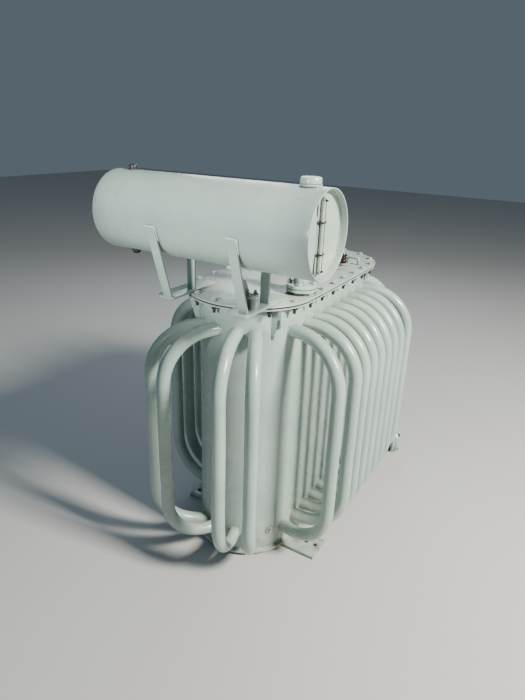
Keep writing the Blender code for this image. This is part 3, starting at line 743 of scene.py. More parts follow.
coolingTubes = {"count": 7, "bend": 0.185, "bendSteps": 14, "sides": 22, "step": 0.022, "intoWall": 0.009,
                "wander": 0.0035, "cornerAngle": 78.0,
                "endAngles": ((-28.0, -37.0), (-10.0, -19.7), (16.0, 16.0), (35.5, 32.5))}
tubeLow, tubeHigh = span("cooling_tube_right_1")
tubeRadius = (tubeHigh.y - tubeLow.y) / 2
tubeTop, tubeBottom = tubeHigh.z - tubeRadius, tubeLow.z + tubeRadius
sideReach = tubeHigh.x - tubeRadius - tankRadius
endReach = -span("cooling_tube_near_3")[0].y - tubeRadius - endCentre


def tubeLines(tubes):
    # for each tube its wall point, its direction and its reach
    lines, nodes = [], []
    for side, sideName in ((1, "right"), (-1, "left")):
        for index in range(tubes["count"]):
            node = f"cooling_tube_{sideName}_{index + 1}"
            low, high = span(node)
            lines.append((Vector((side * tankRadius, (low.y + high.y) / 2, 0.0)), Vector((side, 0.0, 0.0)),
                          sideReach))
            nodes.append(node)
    runDistance = endReach / math.cos(math.radians(tubes["endAngles"][2][1]))
    for end, endName in ((-1, "near"), (1, "far")):
        for index, (exitAngle, runAngle) in enumerate(tubes["endAngles"]):
            start = roundedEnd(-end * exitAngle, end, tankRadius, 0.0)
            across = roundedEnd(-end * runAngle, end, runDistance, 0.0) - start
            lines.append((start, across.normalized(), across.length))
            nodes.append(f"cooling_tube_{endName}_{index + 1}")
        start = roundedEnd(tubes["cornerAngle"], end, tankRadius, 0.0)
        across = roundedEnd(tubes["cornerAngle"], end, tankRadius + sideReach, 0.0) - start
        lines.append((start, across.normalized(), across.length))
        nodes.append(f"cooling_tube_{endName}_corner")
    return lines, nodes


def makeTubes(tubes):
    lines, nodes = tubeLines(tubes)
    wires = []
    for start, direction, reach in lines:
        inner, outer = start - direction * tubes["intoWall"], start + direction * reach
        wires.append(([inner + upZ * tubeTop, outer + upZ * tubeTop, outer + upZ * tubeBottom,
                       inner + upZ * tubeBottom], False))
    piece = grown("coolingTubes", wireObject("tubeWires", wires), barSweep, {
        "Bar Radius": tubeRadius, "Bend Radius": tubes["bend"], "Bend Steps": tubes["bendSteps"],
        "Step": tubes["step"], "Sides": tubes["sides"], "Wander": tubes["wander"], "Finish": tankPaint})
    settle(piece, tankPaint, "paint", *nodes)
    return [(start, direction) for start, direction, reach in lines]


# each point of a seam is moved along its tube, a few times, until it lies on the wall
tubeSeam = {"steps": 30, "tries": 6, "leastSlope": 0.2}


def wallMeeting(start, direction, height, radius):
    # where a round bar of this radius meets the tank's wall
    side = upZ.cross(direction)
    loop = []
    for index in range(tubeSeam["steps"]):
        turn = math.tau * index / tubeSeam["steps"]
        point = start + side * radius * math.cos(turn)
        for attempt in range(tubeSeam["tries"]):
            fromAxis = point - Vector((0.0, max(-endCentre, min(endCentre, point.y)), 0.0))
            slope = max(tubeSeam["leastSlope"], direction.dot(fromAxis.normalized()))
            point = point - direction * ((fromAxis.length - tankRadius) / slope)
        loop.append(point + upZ * (height + radius * math.sin(turn)))
    return loop


tubeWires = makeTubes(coolingTubes)
print("cooling tubes made")


# cover bolts: heads on the cover, nuts and thread ends under the flange

coverBolts = {"count": 26, "inset": 0.019, "phase": 0.083, "tilt": 0.03, "headSink": 0.0002,
              "nutSink": 0.0018, "flats": 0.018, "headHeight": 0.0078, "nutHeight": 0.0105,
              "washerRadius": 0.0115, "washerThick": 0.0022, "threadRadius": 0.0058, "threadOut": 0.013,
              "headThread": -0.002}


def makeCoverBolts(bolts):
    radius, tilt = coverRadius - bolts["inset"], bolts["tilt"]
    length = stadiumLength(radius)
    tops, unders = [], []
    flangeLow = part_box("tank_rim_flange")[0][2]
    draw = random.Random(4)
    for index in range(bolts["count"]):
        place = stadiumPlace(radius, bolts["phase"] + index * length / bolts["count"])[0]
        lean = Vector((draw.uniform(-tilt, tilt), draw.uniform(-tilt, tilt), 0.0))
        tops.append((Vector((place.x, place.y, coverTop - bolts["headSink"])), (lean + upZ).normalized()))
        unders.append((Vector((place.x, place.y, flangeLow - bolts["nutSink"])), (lean - upZ).normalized()))
    sizes = dict(bolts, hexHeight=bolts["headHeight"], threadOut=bolts["headThread"])
    settle(fasteners("coverBoltHeads", tops, sizes, boltPaint, seed=3), boltPaint, "paint")
    sizes = dict(bolts, hexHeight=bolts["nutHeight"])
    # the nuts under the flange take the near-black steel, which also paints the shade under the flange
    settle(fasteners("coverBoltNuts", unders, sizes, blackSteelAndShade, seed=8), blackSteelAndShade, "steel")


makeCoverBolts(coverBolts)
print("cover bolts made")


# lifting lugs: hooked plates on the right, plain ones on the left

lugs = {"thick": 0.010, "intoWall": 0.0075, "edge": 0.0011, "lipBack": 0.0002, "lipEdge": 0.0012,
        "right": {"foot": 0.005, "slotWidth": 0.0075, "topBar": 0.043, "prong": 0.0735,
                  "prongWidth": 0.006},
        "left": {"foot": 0.013}}


def makeLugs(shape):
    thick, root = shape["thick"], -shape["intoWall"]
    for side, sideName in ((1, "right"), (-1, "left")):
        for end, endName in ((-1, "near"), (1, "far")):
            node = f"lifting_lug_{endName}_{sideName}"
            low, high = span(node)
            depth, tall = high.x - low.x, high.z - low.z
            inner = low.x if side > 0 else -high.x
            own = shape[sideName]
            if side > 0:
                slot = depth - own["prongWidth"]
                outline = [(root, 0.0), (depth, 0.0), (depth, -own["prong"]), (slot, -own["prong"]),
                           (slot, -own["topBar"]), (slot - own["slotWidth"], -own["topBar"]),
                           (own["foot"], -tall), (root, -tall)]
                face = high.y if end > 0 else low.y
                middle = face - end * thick / 2
            else:
                outline = [(root, 0.0), (depth, 0.0), (own["foot"], -tall), (root, -tall)]
                middle = (low.y + high.y) / 2
            frameOf = Matrix(((side, 0, 0, side * inner), (0, 0, -side, middle + side * thick / 2),
                              (0, 1, 0, high.z), (0, 0, 0, 1)))
            items = [plateObject(node, [outline], thick, frameOf, shape["edge"])]
            if side > 0:
                lip, back = sorted((middle, low.y if end > 0 else high.y)), shape["lipBack"]
                corner = inner + depth
                items.append(boxObject("lip", (corner - own["prongWidth"] + back, lip[0],
                                               high.z - own["prong"] + back),
                                       (corner - back, lip[1], high.z - back), shape["lipEdge"]))
            piece = joined("liftingLug" + endName.title() + sideName.title(), items)
            shadeRound(piece.data)
            settle(piece, tankPaint, "paint", node)


makeLugs(lugs)


# skids: cranked flat bars across under the tank, drilled at both ends, the far one turned half round

skids = {"width": 0.120, "crank": 0.057, "crankHalf": 0.080, "holeRadius": 0.010, "holeEdge": 0.024,
         "holePitch": 0.042, "holeShift": 0.012, "holeSteps": 24, "edge": 0.0016}


def makeSkids(shape):
    edge, crank, middle = shape["width"] / 2, shape["crank"], shape["crankHalf"]
    for turn, name in ((1, "near"), (-1, "far")):
        low, high = span("skid_" + name)
        far, short = (high.x, -low.x) if turn > 0 else (-low.x, high.x)
        seat = (low.y if turn > 0 else -high.y) + edge
        outline = [(-short, crank - edge), (-middle, crank - edge), (middle, -edge), (far, -edge),
                   (far, edge), (middle, edge), (-middle, crank + edge), (-short, crank + edge)]
        spots = []
        for index in range(2):
            back = shape["holeEdge"] + index * shape["holePitch"]
            spots += [(far - back, shape["holeShift"]), (back - short, crank - shape["holeShift"])]
        loops = [[(turn * x, turn * (y + seat)) for x, y in outline]]
        for x, y in spots:
            hole = arcPoints((turn * x, turn * (y + seat)), shape["holeRadius"], 0, -360, shape["holeSteps"])
            loops.append(hole[:-1])
        bar = plateObject("skid" + name.title(), loops, high.z - low.z, Matrix.Identity(4), shape["edge"])
        settle(bar, fittingPaint, "paint", "skid_" + name)


makeSkids(skids)
print("lugs and skids made")


# conservator drum: rolled sheet with turned-in rims, dished ends set into it, fittings on top and below

drumShape = {"thick": 0.004, "rim": 0.0019, "rows": 40, "steps": 128, "smoothAngle": 50.0,
             "uneven": 0.0006, "dentScales": (5.0, 11.0), "dish": 0.007, "dishRise": 0.35,
             "dishShare": 0.94, "dishSteps": 12, "endSteps": 96, "flangeTurn": 0.010,
             "endLip": ((0.0045, 0.0012), (0.0012, 0.0034))}  # in from the edge, out from the plate


def drumFrame(x, face=1):
    # a frame on the drum's axis, its Z pointing right, or left for a face of -1
    laid = Matrix.Rotation(math.radians(90 * face), 4, "Y")
    return Matrix.Translation((x, drumAxis.y, drumAxis.z)) @ laid


def makeDrum(shape):
    long, outer, inner = drumHigh.x - drumLow.x, drumRadius, drumRadius - shape["thick"]
    rim, rows, (wide, fine) = shape["rim"], shape["rows"], shape["dentScales"]
    profile = [(inner, long - rim), (inner + rim * 0.4, long - rim * 0.3), (inner + rim, long),
               (outer - rim * 0.6, long), (outer - rim * 0.15, long - rim * 0.4)]
    profile += [(outer, long - rim - (long - 2 * rim) * i / rows) for i in range(rows + 1)]
    profile += [(outer - rim * 0.15, rim * 0.4), (outer - rim * 0.6, 0.0), (inner + rim, 0.0),
                (inner + rim * 0.4, rim * 0.3), (inner, rim)]
    shell = turned("conservatorShell", profile, shape["steps"], drumFrame(drumLow.x), closed=True,
                   smoothAngle=shape["smoothAngle"])
    for point in shell.data.vertices:
        away = Vector((0.0, point.co.y - drumAxis.y, point.co.z - drumAxis.z))
        if away.length > outer - 0.0005:
            dent = noise.noise(point.co * wide) + 0.5 * noise.noise(point.co * fine)
            point.co += away.normalized() * min(0.0, dent) * shape["uneven"]
    settle(shell, tankPaint, "paint", "conservator_shell")
    steps, rise = shape["dishSteps"], shape["dish"] * shape["dishRise"]
    for name, face in (("right", 1), ("left", -1)):
        low, high = span("conservator_end_" + name)
        radius = (high.z - low.z) / 2
        thick = high.x - low.x
        disc = [(0.0, thick + rise)]
        disc += [(radius * shape["dishShare"] * i / steps, thick + rise * math.cos(math.pi / 2 * i / steps))
                 for i in range(1, steps + 1)]
        disc += [(radius - back, thick + out) for back, out in shape["endLip"]]
        disc += [(radius, thick + shape["flangeTurn"] * 0.5), (radius, 0.0), (0.0, 0.0)]
        plate = turned("conservatorEnd" + name.title(), disc, shape["endSteps"],
                       drumFrame(low.x if face > 0 else high.x, face))
        settle(plate, tankPaint, "paint", "conservator_end_" + name)


makeDrum(drumShape)


# oil gauge on the right end: a guard channel round the glass between two blocks, held by two clamps

gaugeShape = {"guardRadius": 0.0078, "guardThick": 0.0012, "guardFrom": -175, "guardTo": -22, "edgeTo": 45,
              "guardSteps": 14, "guardAngle": 40.0, "blockHalf": 0.007, "blockHeight": 0.020,
              "blockEdge": 0.002, "sink": 0.001, "blockBolt": 0.0012,
              "backThick": 0.003, "backIn": 0.0006, "backEdge": 0.0007, "clamps": (0.32, 0.735),
              "clampLeft": 0.021, "clampRight": 0.027, "clampBolt": 0.018, "clampHalf": 0.0023,
              "clampFoot": 0.0025, "boltSeat": 0.0024, "strapGap": 0.0014, "shadowLeft": 0.0070,
              "shadowRight": 0.0022, "shadowOver": 0.0015, "shadowOut": 0.0012, "glassSteps": 20,
              "footEdge": 0.0006, "strapEdge": 0.0009, "shadowEdge": 0.0003, "boltSides": (-0.7, 1.0),
              "nuts": {"flats": 0.0055, "hexHeight": 0.0035, "washerRadius": 0.0052,
                       "washerThick": 0.001, "threadRadius": 0.0022, "threadOut": 0.003}}


def makeGauge(shape):
    low, high = span("oil_gauge_frame")
    y, x = (low.y + high.y) / 2, low.x
    glassLow, glassHigh = span("oil_gauge_glass")
    glassX = (glassLow.x + glassHigh.x) / 2
    half, face, right = shape["blockHalf"], x + shape["backThick"], Vector((1.0, 0.0, 0.0))
    sink = shape["sink"]
    items = [boxObject("back", (x + shape["backIn"], low.y, low.z), (face, high.y, high.z),
                       shape["backEdge"])]
    places, clamps = [], []
    for bottom in (low.z, high.z - shape["blockHeight"]):
        top = bottom + shape["blockHeight"]
        items.append(boxObject("block", (face - sink, y - half, bottom), (high.x - sink, y + half, top),
                               shape["blockEdge"]))
        places.append((Vector((high.x - shape["blockBolt"], y, (bottom + top) / 2)), right))
    # the guard is open on its far side; the dark strip along that edge is painted shadow
    outer, steps = shape["guardRadius"], shape["guardSteps"]
    inner = outer - shape["guardThick"]
    guardLow, guardHigh = low.z + shape["blockHeight"] * 0.5, high.z - shape["blockHeight"] * 0.5
    channels = []
    for name, first, last in (("guard", shape["guardFrom"], shape["guardTo"]),
                              ("guardShadowStrip", shape["guardTo"], shape["edgeTo"])):
        section = arcPoints((glassX, y), outer, first, last, steps)
        section += arcPoints((glassX, y), inner, last, first, steps)
        points = [Vector((px, py, z)) for z in (guardLow, guardHigh) for px, py in section]
        channels.append(meshObject(name, points, ringFaces(2, len(section)), shape["guardAngle"]))
    strap, foot = outer + shape["strapGap"], face + shape["clampFoot"]
    for share in shape["clamps"]:
        z = high.z - (high.z - low.z) * share
        bottom, top = z - shape["clampHalf"], z + shape["clampHalf"]
        clamps.append(boxObject("clampFoot", (face - sink, y - shape["clampLeft"], bottom),
                                (foot, y + shape["clampRight"], top), shape["footEdge"]))
        clamps.append(boxObject("clampStrap", (face, y - strap, bottom), (glassX + strap, y + strap, top),
                                shape["strapEdge"]))
        for away in shape["boltSides"]:
            places.append((Vector((face + shape["boltSeat"], y + away * shape["clampBolt"], z)), right))
    # a dark sheet behind the frame, wider on the left, paints the shadow gap round the gauge
    over = shape["shadowOver"]
    shadowStrip = boxObject("shadowStrip", (x - sink, low.y - shape["shadowLeft"], low.z - over),
                        (x + shape["shadowOut"], high.y + shape["shadowRight"], high.z + over),
                        shape["shadowEdge"])
    settle(joined("gaugeShadowStrips", [shadowStrip, channels[1]]), darkGasketAndShade, "gasket")
    # the guard takes the paler, yellower paint, a painted highlight
    settle(channels[0], guardHighlightPaint, "paint")
    settle(joined("gaugeClamps", clamps), clampMetal, "steel")
    frameOf = joined("oilGauge", items)
    shadeRound(frameOf.data)
    settle(frameOf, fittingPaint, "paint", "oil_gauge_frame")
    settle(fasteners("oilGaugeNuts", places, shape["nuts"], blackSteelAndShade, seed=5), blackSteelAndShade, "steel")
    radius, tall = (glassHigh.x - glassLow.x) / 2, glassHigh.z - glassLow.z
    glass = turned("oilGaugeGlass", [(0.0, tall), (radius, tall), (radius, 0.0), (0.0, 0.0)],
                   shape["glassSteps"], Matrix.Translation((glassX, y, glassLow.z)))
    settle(glass, gaugeGlass, "glass", "oil_gauge_glass")


makeGauge(gaugeShape)
print("drum and gauge made")


# filler cap, vent cap and sump plug

drumFittings = {"capShare": 0.74, "neckShare": 0.80, "capSteps": 72, "collarSteps": 48, "ventSteps": 40,
                "bossSteps": 32}


def makeDrumFittings(shape):
    low, high = span("filler_cap")
    radius, middle = (high.x - low.x) / 2, (low + high) / 2
    top, seat = high.z, drumHigh.z
    tall = (top - seat) * shape["capShare"]
    neck = radius * shape["neckShare"]
    place = Matrix.Translation((middle.x, middle.y, 0.0))
    cap = turned("fillerCap", [(0.0, top), (radius * 0.80, top), (radius * 0.93, top - 0.0012),
                               (radius * 0.985, top - 0.0040), (radius, top - tall + 0.0025),
                               (radius * 0.985, top - tall), (neck, top - tall), (neck, low.z + 0.001),
                               (0.0, low.z + 0.001)], shape["capSteps"], place, smoothAngle=30.0)
    collar = turned("collar", [(neck + 0.001, seat + 0.0048), (neck + 0.0070, seat + 0.0048),
                               (neck + 0.0085, seat + 0.0030), (neck + 0.0085, low.z + 0.002),
                               (neck + 0.001, low.z + 0.002)], shape["collarSteps"], place, closed=True)
    settle(joined("fillerCap", [cap, collar]), fittingPaint, "paint", "filler_cap")
    low, high = span("vent_cap")
    radius, middle = (high.x - low.x) / 2, (low + high) / 2
    place = Matrix.Translation((middle.x, middle.y, 0.0))
    cap = turned("ventCap", [(0.0, high.z), (radius * 0.55, high.z - 0.0004),
                             (radius * 0.82, high.z - 0.0030), (radius * 0.86, high.z - 0.0080),
                             (radius * 0.66, high.z - 0.0090), (radius * 0.66, seat + 0.0040),
                             (radius, seat + 0.0034), (radius, low.z + 0.001),
                             (0.0, low.z + 0.001)], shape["ventSteps"], place)
    settle(cap, blackSteelAndShade, "paint", "vent_cap")
    low, high = span("sump_plug")
    radius, middle = (high.x - low.x) / 2, (low + high) / 2
    place = Matrix.Translation((middle.x, middle.y, 0.0))
    boss = turned("boss", [(0.0, high.z - 0.001), (radius, high.z - 0.001), (radius, low.z + 0.0090),
                           (0.0, low.z + 0.0090)], shape["bossSteps"], place)
    plug = turned("plug", [(0.0, low.z + 0.0095), (radius * 0.80, low.z + 0.0095),
                           (radius * 0.80, low.z + 0.0014), (radius * 0.66, low.z), (0.0, low.z)],
                  6, place, smoothAngle=20.0)
    settle(joined("sumpPlug", [boss, plug]), blackSteelAndShade, "paint", "sump_plug")


makeDrumFittings(drumFittings)
print("drum fittings made")


# brackets: base plate, leaning front upright welded to the drum, rear upright and a web on the right

brackets = {"left": {"inset": 0.0905, "front": 0.067, "corners": (0.028, 0.012)},
            "right": {"inset": 0.095, "front": 0.083, "corners": (0.028, 0.012)},
            "gap": 0.0003, "baseThick": 0.008, "width": 0.035, "thick": 0.008, "lean": 17.5, "over": 0.024,
            "rearBack": 0.070, "edge": 0.0012, "cornerSteps": 8, "frontSink": 0.004, "rearSink": 0.003,
            "rearOver": 0.0005, "beadIn": 0.15, "headUp": 0.0006, "headOut": 0.55, "footUp": 0.0004,
            "footBeads": (0.001, -0.002),
            "webThick": 0.006, "webOut": 0.0025, "webHigh": 0.1471, "webShoulder": 0.1087,
            "webShoulderBack": 0.0265, "webBack": 0.0865, "webEdge": 0.0010,
            "beadLong": 0.048, "beadSteps": 14, "bead": 0.0033, "beadAside": 0.0008, "beadProud": 0.0016,
            "footBead": 0.6, "footSteps": 12}


def basePlate(low, high, front, corners, steps):
    # a base plate's outline with two rounded corners in front
    left = arcPoints((low.x + corners[0], front + corners[0]), corners[0], 180, 270, steps)
    right = arcPoints((high.x - corners[1], front + corners[1]), corners[1], 270, 360, steps)
    return left + right + [(high.x, high.y), (low.x, high.y)]


def makeBrackets(shape):
    turn = math.radians(shape["lean"])
    lean = Vector((0.0, -math.sin(turn), math.cos(turn)))
    out = Vector((0.0, -math.cos(turn), -math.sin(turn)))
    contact = Vector((0.0, drumAxis.y, drumAxis.z)) + out * (drumRadius + shape["gap"])
    baseLow = coverTop + shape["gap"]
    baseTop = baseLow + shape["baseThick"]
    foot = contact + lean * ((baseTop - shape["frontSink"] - contact.z) / lean.z)
    tall = (contact - foot).length + shape["over"]
    half, thick, edge = shape["width"] / 2, shape["thick"], shape["edge"]
    rearY = drumAxis.y + shape["rearBack"]
    rearRise = math.sqrt(drumRadius ** 2 - (shape["rearBack"] - thick / 2) ** 2)
    rearTop = drumAxis.z - rearRise + shape["rearOver"]
    wires, footWires = [], []
    for side, sideName in ((-1, "left"), (1, "right")):
        low, high = span("bracket_" + sideName)
        own = shape[sideName]
        x = side * (coverRadius - own["inset"])
        outline = basePlate(low, high, drumAxis.y - own["front"], own["corners"], shape["cornerSteps"])
        base = plateObject("base", [outline], shape["baseThick"], Matrix.Translation((0, 0, baseLow)), edge)
        slant = Matrix(((1, 0, 0, x), (0, lean.y, out.y, foot.y), (0, lean.z, out.z, foot.z), (0, 0, 0, 1)))
        outline = [(-half, 0.0), (half, 0.0), (half, tall), (-half, tall)]
        bar = plateObject("bar", [outline], thick, slant, edge)
        rear = boxObject("rear", (x - half, rearY - thick / 2, baseTop - shape["rearSink"]),
                         (x + half, rearY + thick / 2, rearTop), edge)
        items = [base, bar, rear]
        if side > 0:
            webTop = foot + lean * ((baseLow + shape["webHigh"] - foot.z) / lean.z) + out * thick / 2
            outline = [(foot.y + out.y * thick / 2, foot.z), (foot.y + shape["webBack"], foot.z),
                       (foot.y + shape["webShoulderBack"], baseLow + shape["webShoulder"]),
                       (webTop.y, webTop.z)]
            upright = Matrix(((0, 0, 1, x - half - shape["webOut"]), (1, 0, 0, 0), (0, 1, 0, 0),
                              (0, 0, 0, 1)))
            items.append(plateObject("web", [outline], shape["webThick"], upright, shape["webEdge"]))
        piece = joined("bracket" + sideName.title(), items)
        shadeRound(piece.data)
        settle(piece, tankPaint, "paint", "bracket_" + sideName)
        # welds round the upright's head, on the drum, and across both feet
        here = Vector((x, 0.0, 0.0))
        for across in (-1, 1):
            line = []
            for step in range(shape["beadSteps"] + 1):
                rise = tall - shape["beadLong"] * step / shape["beadSteps"]
                spot = foot + lean * rise
                spot = spot + here + Vector((across * (half + shape["beadAside"]), 0.0, 0.0))
                away = Vector((0.0, spot.y - drumAxis.y, spot.z - drumAxis.z))
                inward = max(0.0, away.length - drumRadius) * shape["beadIn"]
                line.append(spot - away.normalized() * inward + out * shape["beadProud"])
            wires.append((line, False, shape["bead"]))
        head = foot + lean * (tall + shape["headUp"]) + out * (thick * shape["headOut"]) + here
        ends = [head + Vector((across * half, 0.0, 0.0)) for across in (-1, 1)]
        steps = shape["footSteps"]
        wires.append(([ends[0].lerp(ends[1], i / steps) for i in range(steps + 1)], False, shape["bead"]))
        behind, before = shape["footBeads"]
        for y in (foot.y + behind, foot.y + out.y * thick + before, rearY - thick / 2, rearY + thick / 2):
            line = [Vector((x - half + 2 * half * i / steps, y, baseTop + shape["footUp"]))
                    for i in range(steps + 1)]
            footWires.append((line, False, shape["bead"] * shape["footBead"]))
    # the head welds take the paler paint, a painted highlight; the foot welds keep the tank's paint
    settle(beads("bracketWelds", wires, weldHighlightPaint), weldHighlightPaint, "paint")
    settle(beads("bracketFootWelds", footWires, tankPaint), tankPaint, "paint")


makeBrackets(brackets)
print("brackets made")


# oil pipe: stub and flange on the cover, riser bending into the back of the drum

oilPipe = {"radius": 0.030, "wall": 0.004, "bend": 0.075, "bendSteps": 16, "sides": 36, "stub": 0.010,
           "flangeRadius": 0.058, "flangeThick": 0.012, "flangeThinner": 0.0012, "edge": 0.0014,
           "gasketHalf": 0.0014, "gasketThick": 0.0032, "gasketBack": 0.0008, "gasketEdge": 0.0004,
           "gasketBore": 0.027, "startUp": 0.001, "straightUp": 0.03, "straightSteps": 5, "intoDrum": 0.003,
           "bolts": 4, "boltRadius": 0.0455, "firstBolt": 20.0,
           "nuts": {"flats": 0.019, "hexHeight": 0.0095, "washerRadius": 0.012, "washerThick": 0.002,
                    "threadRadius": 0.006, "threadOut": 0.006},
           "heads": {"flats": 0.019, "hexHeight": 0.0072, "washerRadius": 0.012, "washerThick": 0.0012,
                     "threadRadius": 0.006, "threadOut": -0.001}}


def flangeDisc(name, radius, thick, hole, place, edge):
    # a ring with rounded rims
    return turned(name, [(hole, thick), (radius - edge, thick), (radius - edge * 0.3, thick - edge * 0.3),
                         (radius, thick - edge), (radius, edge), (radius - edge * 0.3, edge * 0.3),
                         (radius - edge, 0.0), (hole, 0.0)], 64, place, True)


def makePipe(shape):
    low, high = span("pipe_lower_flange")
    x, y, floor = (low.x + high.x) / 2, (low.y + high.y) / 2, low.z
    radius, stub, flange, thick = shape["radius"], shape["stub"], shape["flangeRadius"], shape["flangeThick"]
    bore = radius - shape["wall"]
    here = Matrix.Translation((x, y, floor))
    neck = turned("stub", [(radius, stub), (radius, 0.0), (bore, 0.0), (bore, stub)], 48, here, True)
    lower = flangeDisc("lower", flange, thick - shape["flangeThinner"], bore,
                       here @ Matrix.Translation((0, 0, stub)), shape["edge"])
    settle(joined("pipeLowerFlange", [neck, lower]), fittingPaint, "paint", "pipe_lower_flange")
    seat = floor + stub + thick
    packing = flangeDisc("pipeGasket", flange - shape["gasketBack"], shape["gasketThick"],
                         shape["gasketBore"], Matrix.Translation((x, y, seat - shape["gasketHalf"])),
                         shape["gasketEdge"])
    settle(packing, darkGasketAndShade, "gasket")
    upper = flangeDisc("upper", flange, thick, bore,
                       Matrix.Translation((x, y, seat + shape["gasketHalf"])), shape["edge"])
    bend, steps = shape["bend"], shape["bendSteps"]
    straight, parts = seat + shape["straightUp"], shape["straightSteps"]
    path = [Vector((x, y, seat + shape["startUp"])), Vector((x, y, straight))]
    path += [Vector((x, y, straight + (drumAxis.z - bend - straight) * i / parts)) for i in range(1, parts)]
    path += [Vector((x, y - bend + bend * math.cos(math.pi / 2 * i / steps),
                     drumAxis.z - bend + bend * math.sin(math.pi / 2 * i / steps)))
             for i in range(steps + 1)]
    path += [Vector((x, drumAxis.y + drumRadius - shape["intoDrum"], drumAxis.z))]
    riser = sweep("riser", path, radius, shape["sides"])
    settle(joined("pipeRiser", [upper, riser]), tankPaint, "paint", "pipe_riser")
    tops, unders, circle = [], [], shape["boltRadius"]
    for index in range(shape["bolts"]):
        turn = math.radians(shape["firstBolt"] + 360.0 * index / shape["bolts"])
        place = Vector((x + circle * math.cos(turn), y + circle * math.sin(turn), 0.0))
        tops.append((place + upZ * (seat + thick), upZ))
        unders.append((place + upZ * (floor + stub), -upZ))
    settle(fasteners("pipeFlangeNuts", tops, shape["nuts"], boltPaint, seed=11), boltPaint, "paint")
    settle(fasteners("pipeFlangeHeads", unders, shape["heads"], blackSteelAndShade, seed=12), blackSteelAndShade, "steel")
    return x, y, floor, seat


pipePlace = makePipe(oilPipe)


# pocket with an oval flange on the right bracket's base plate, and a staple on the cover

coverFittings = {"pocketRadius": 0.0115, "flangeRadius": 0.0125, "flangeThick": 0.008, "studs": 0.019,
                 "edge": 0.0009, "stapleBend": 0.010, "stapleShare": 0.82,
                 "nuts": {"flats": 0.012, "hexHeight": 0.0070, "washerRadius": 0.0078,
                          "washerThick": 0.0015, "threadRadius": 0.0038, "threadOut": 0.005}}


def makeCoverFittings(shape):
    low, high = span("cover_pocket")
    middle = (low + high) / 2
    radius, corner, thick = shape["pocketRadius"], shape["flangeRadius"], shape["flangeThick"]
    neck = high.z - thick
    body = turned("pocket", [(0.0, neck + 0.002), (radius, neck + 0.002), (radius, low.z + 0.002),
                             (radius + 0.0015, low.z), (0.0, low.z)],
                  40, Matrix.Translation((middle.x, middle.y, 0.0)))
    straight = (high.y - low.y) / 2 - corner
    oval = arcPoints((0.0, straight), corner, 0, 180, 12)
    oval += arcPoints((0.0, -straight), corner, 180, 360, 12)
    flange = plateObject("flange", [oval], thick, Matrix.Translation((middle.x, middle.y, neck)),
                         shape["edge"])
    plug = turned("plug", [(0.0, 0.005), (0.0045, 0.005), (0.0055, 0.004), (0.0055, -0.001), (0.0, -0.001)],
                  24, Matrix.Translation((middle.x, middle.y, high.z)))
    settle(joined("coverPocket", [body, flange, plug]), fittingPaint, "paint", "cover_pocket")
    places = [(Vector((middle.x, middle.y + away * shape["studs"], high.z - 0.0002)), upZ)
              for away in (-1, 1)]
    settle(fasteners("pocketNuts", places, shape["nuts"], boltPaint, seed=21), boltPaint, "paint")
    low, high = span("cover_staple")
    half, bar = (high.x - low.x) / 2, (high.y - low.y) / 2
    middle = (low + high) / 2
    left, right, foot, top = middle.x - half + bar, middle.x + half - bar, low.z + 0.0005, high.z - bar
    line = [Vector((x, middle.y, z)) for x, z in ((left, foot), (left, top), (right, top), (right, foot))]
    staple = grown("coverStaple", wireObject("stapleWire", [(line, False)]), barSweep, {
        "Bar Radius": bar * shape["stapleShare"], "Bend Radius": shape["stapleBend"], "Bend Steps": 6,
        "Step": 0.003, "Sides": 14, "Wander": 0.0, "Finish": fittingPaint})
    settle(staple, fittingPaint, "paint", "cover_staple")


makeCoverFittings(coverFittings)
print("pipe and cover fittings made")


# bushings: glazed bodies with sheds, a clamping ring at the foot, a metal cap and a stem with a nut

bushings = {"low": {"count": 4, "sheds": 3, "body": 0.70, "ring": 0.0075},
            "high": {"count": 3, "sheds": 5, "body": 0.62, "ring": 0.014}}
# shares of a bushing's height or of its body's width, then the real sizes at its foot
bushingShares = {"capLow": 0.80, "shedGap": 0.03, "ringRoom": 1.6, "topShed": 0.90, "shedGrowth": 0.10,
                 "stem": 0.24, "ringWide": 1.30, "ringBore": 0.98, "seatWide": 1.22, "seatBore": 0.5,
                 "seatThick": 0.0026, "ringLift": 0.0022, "bodySteps": 40}


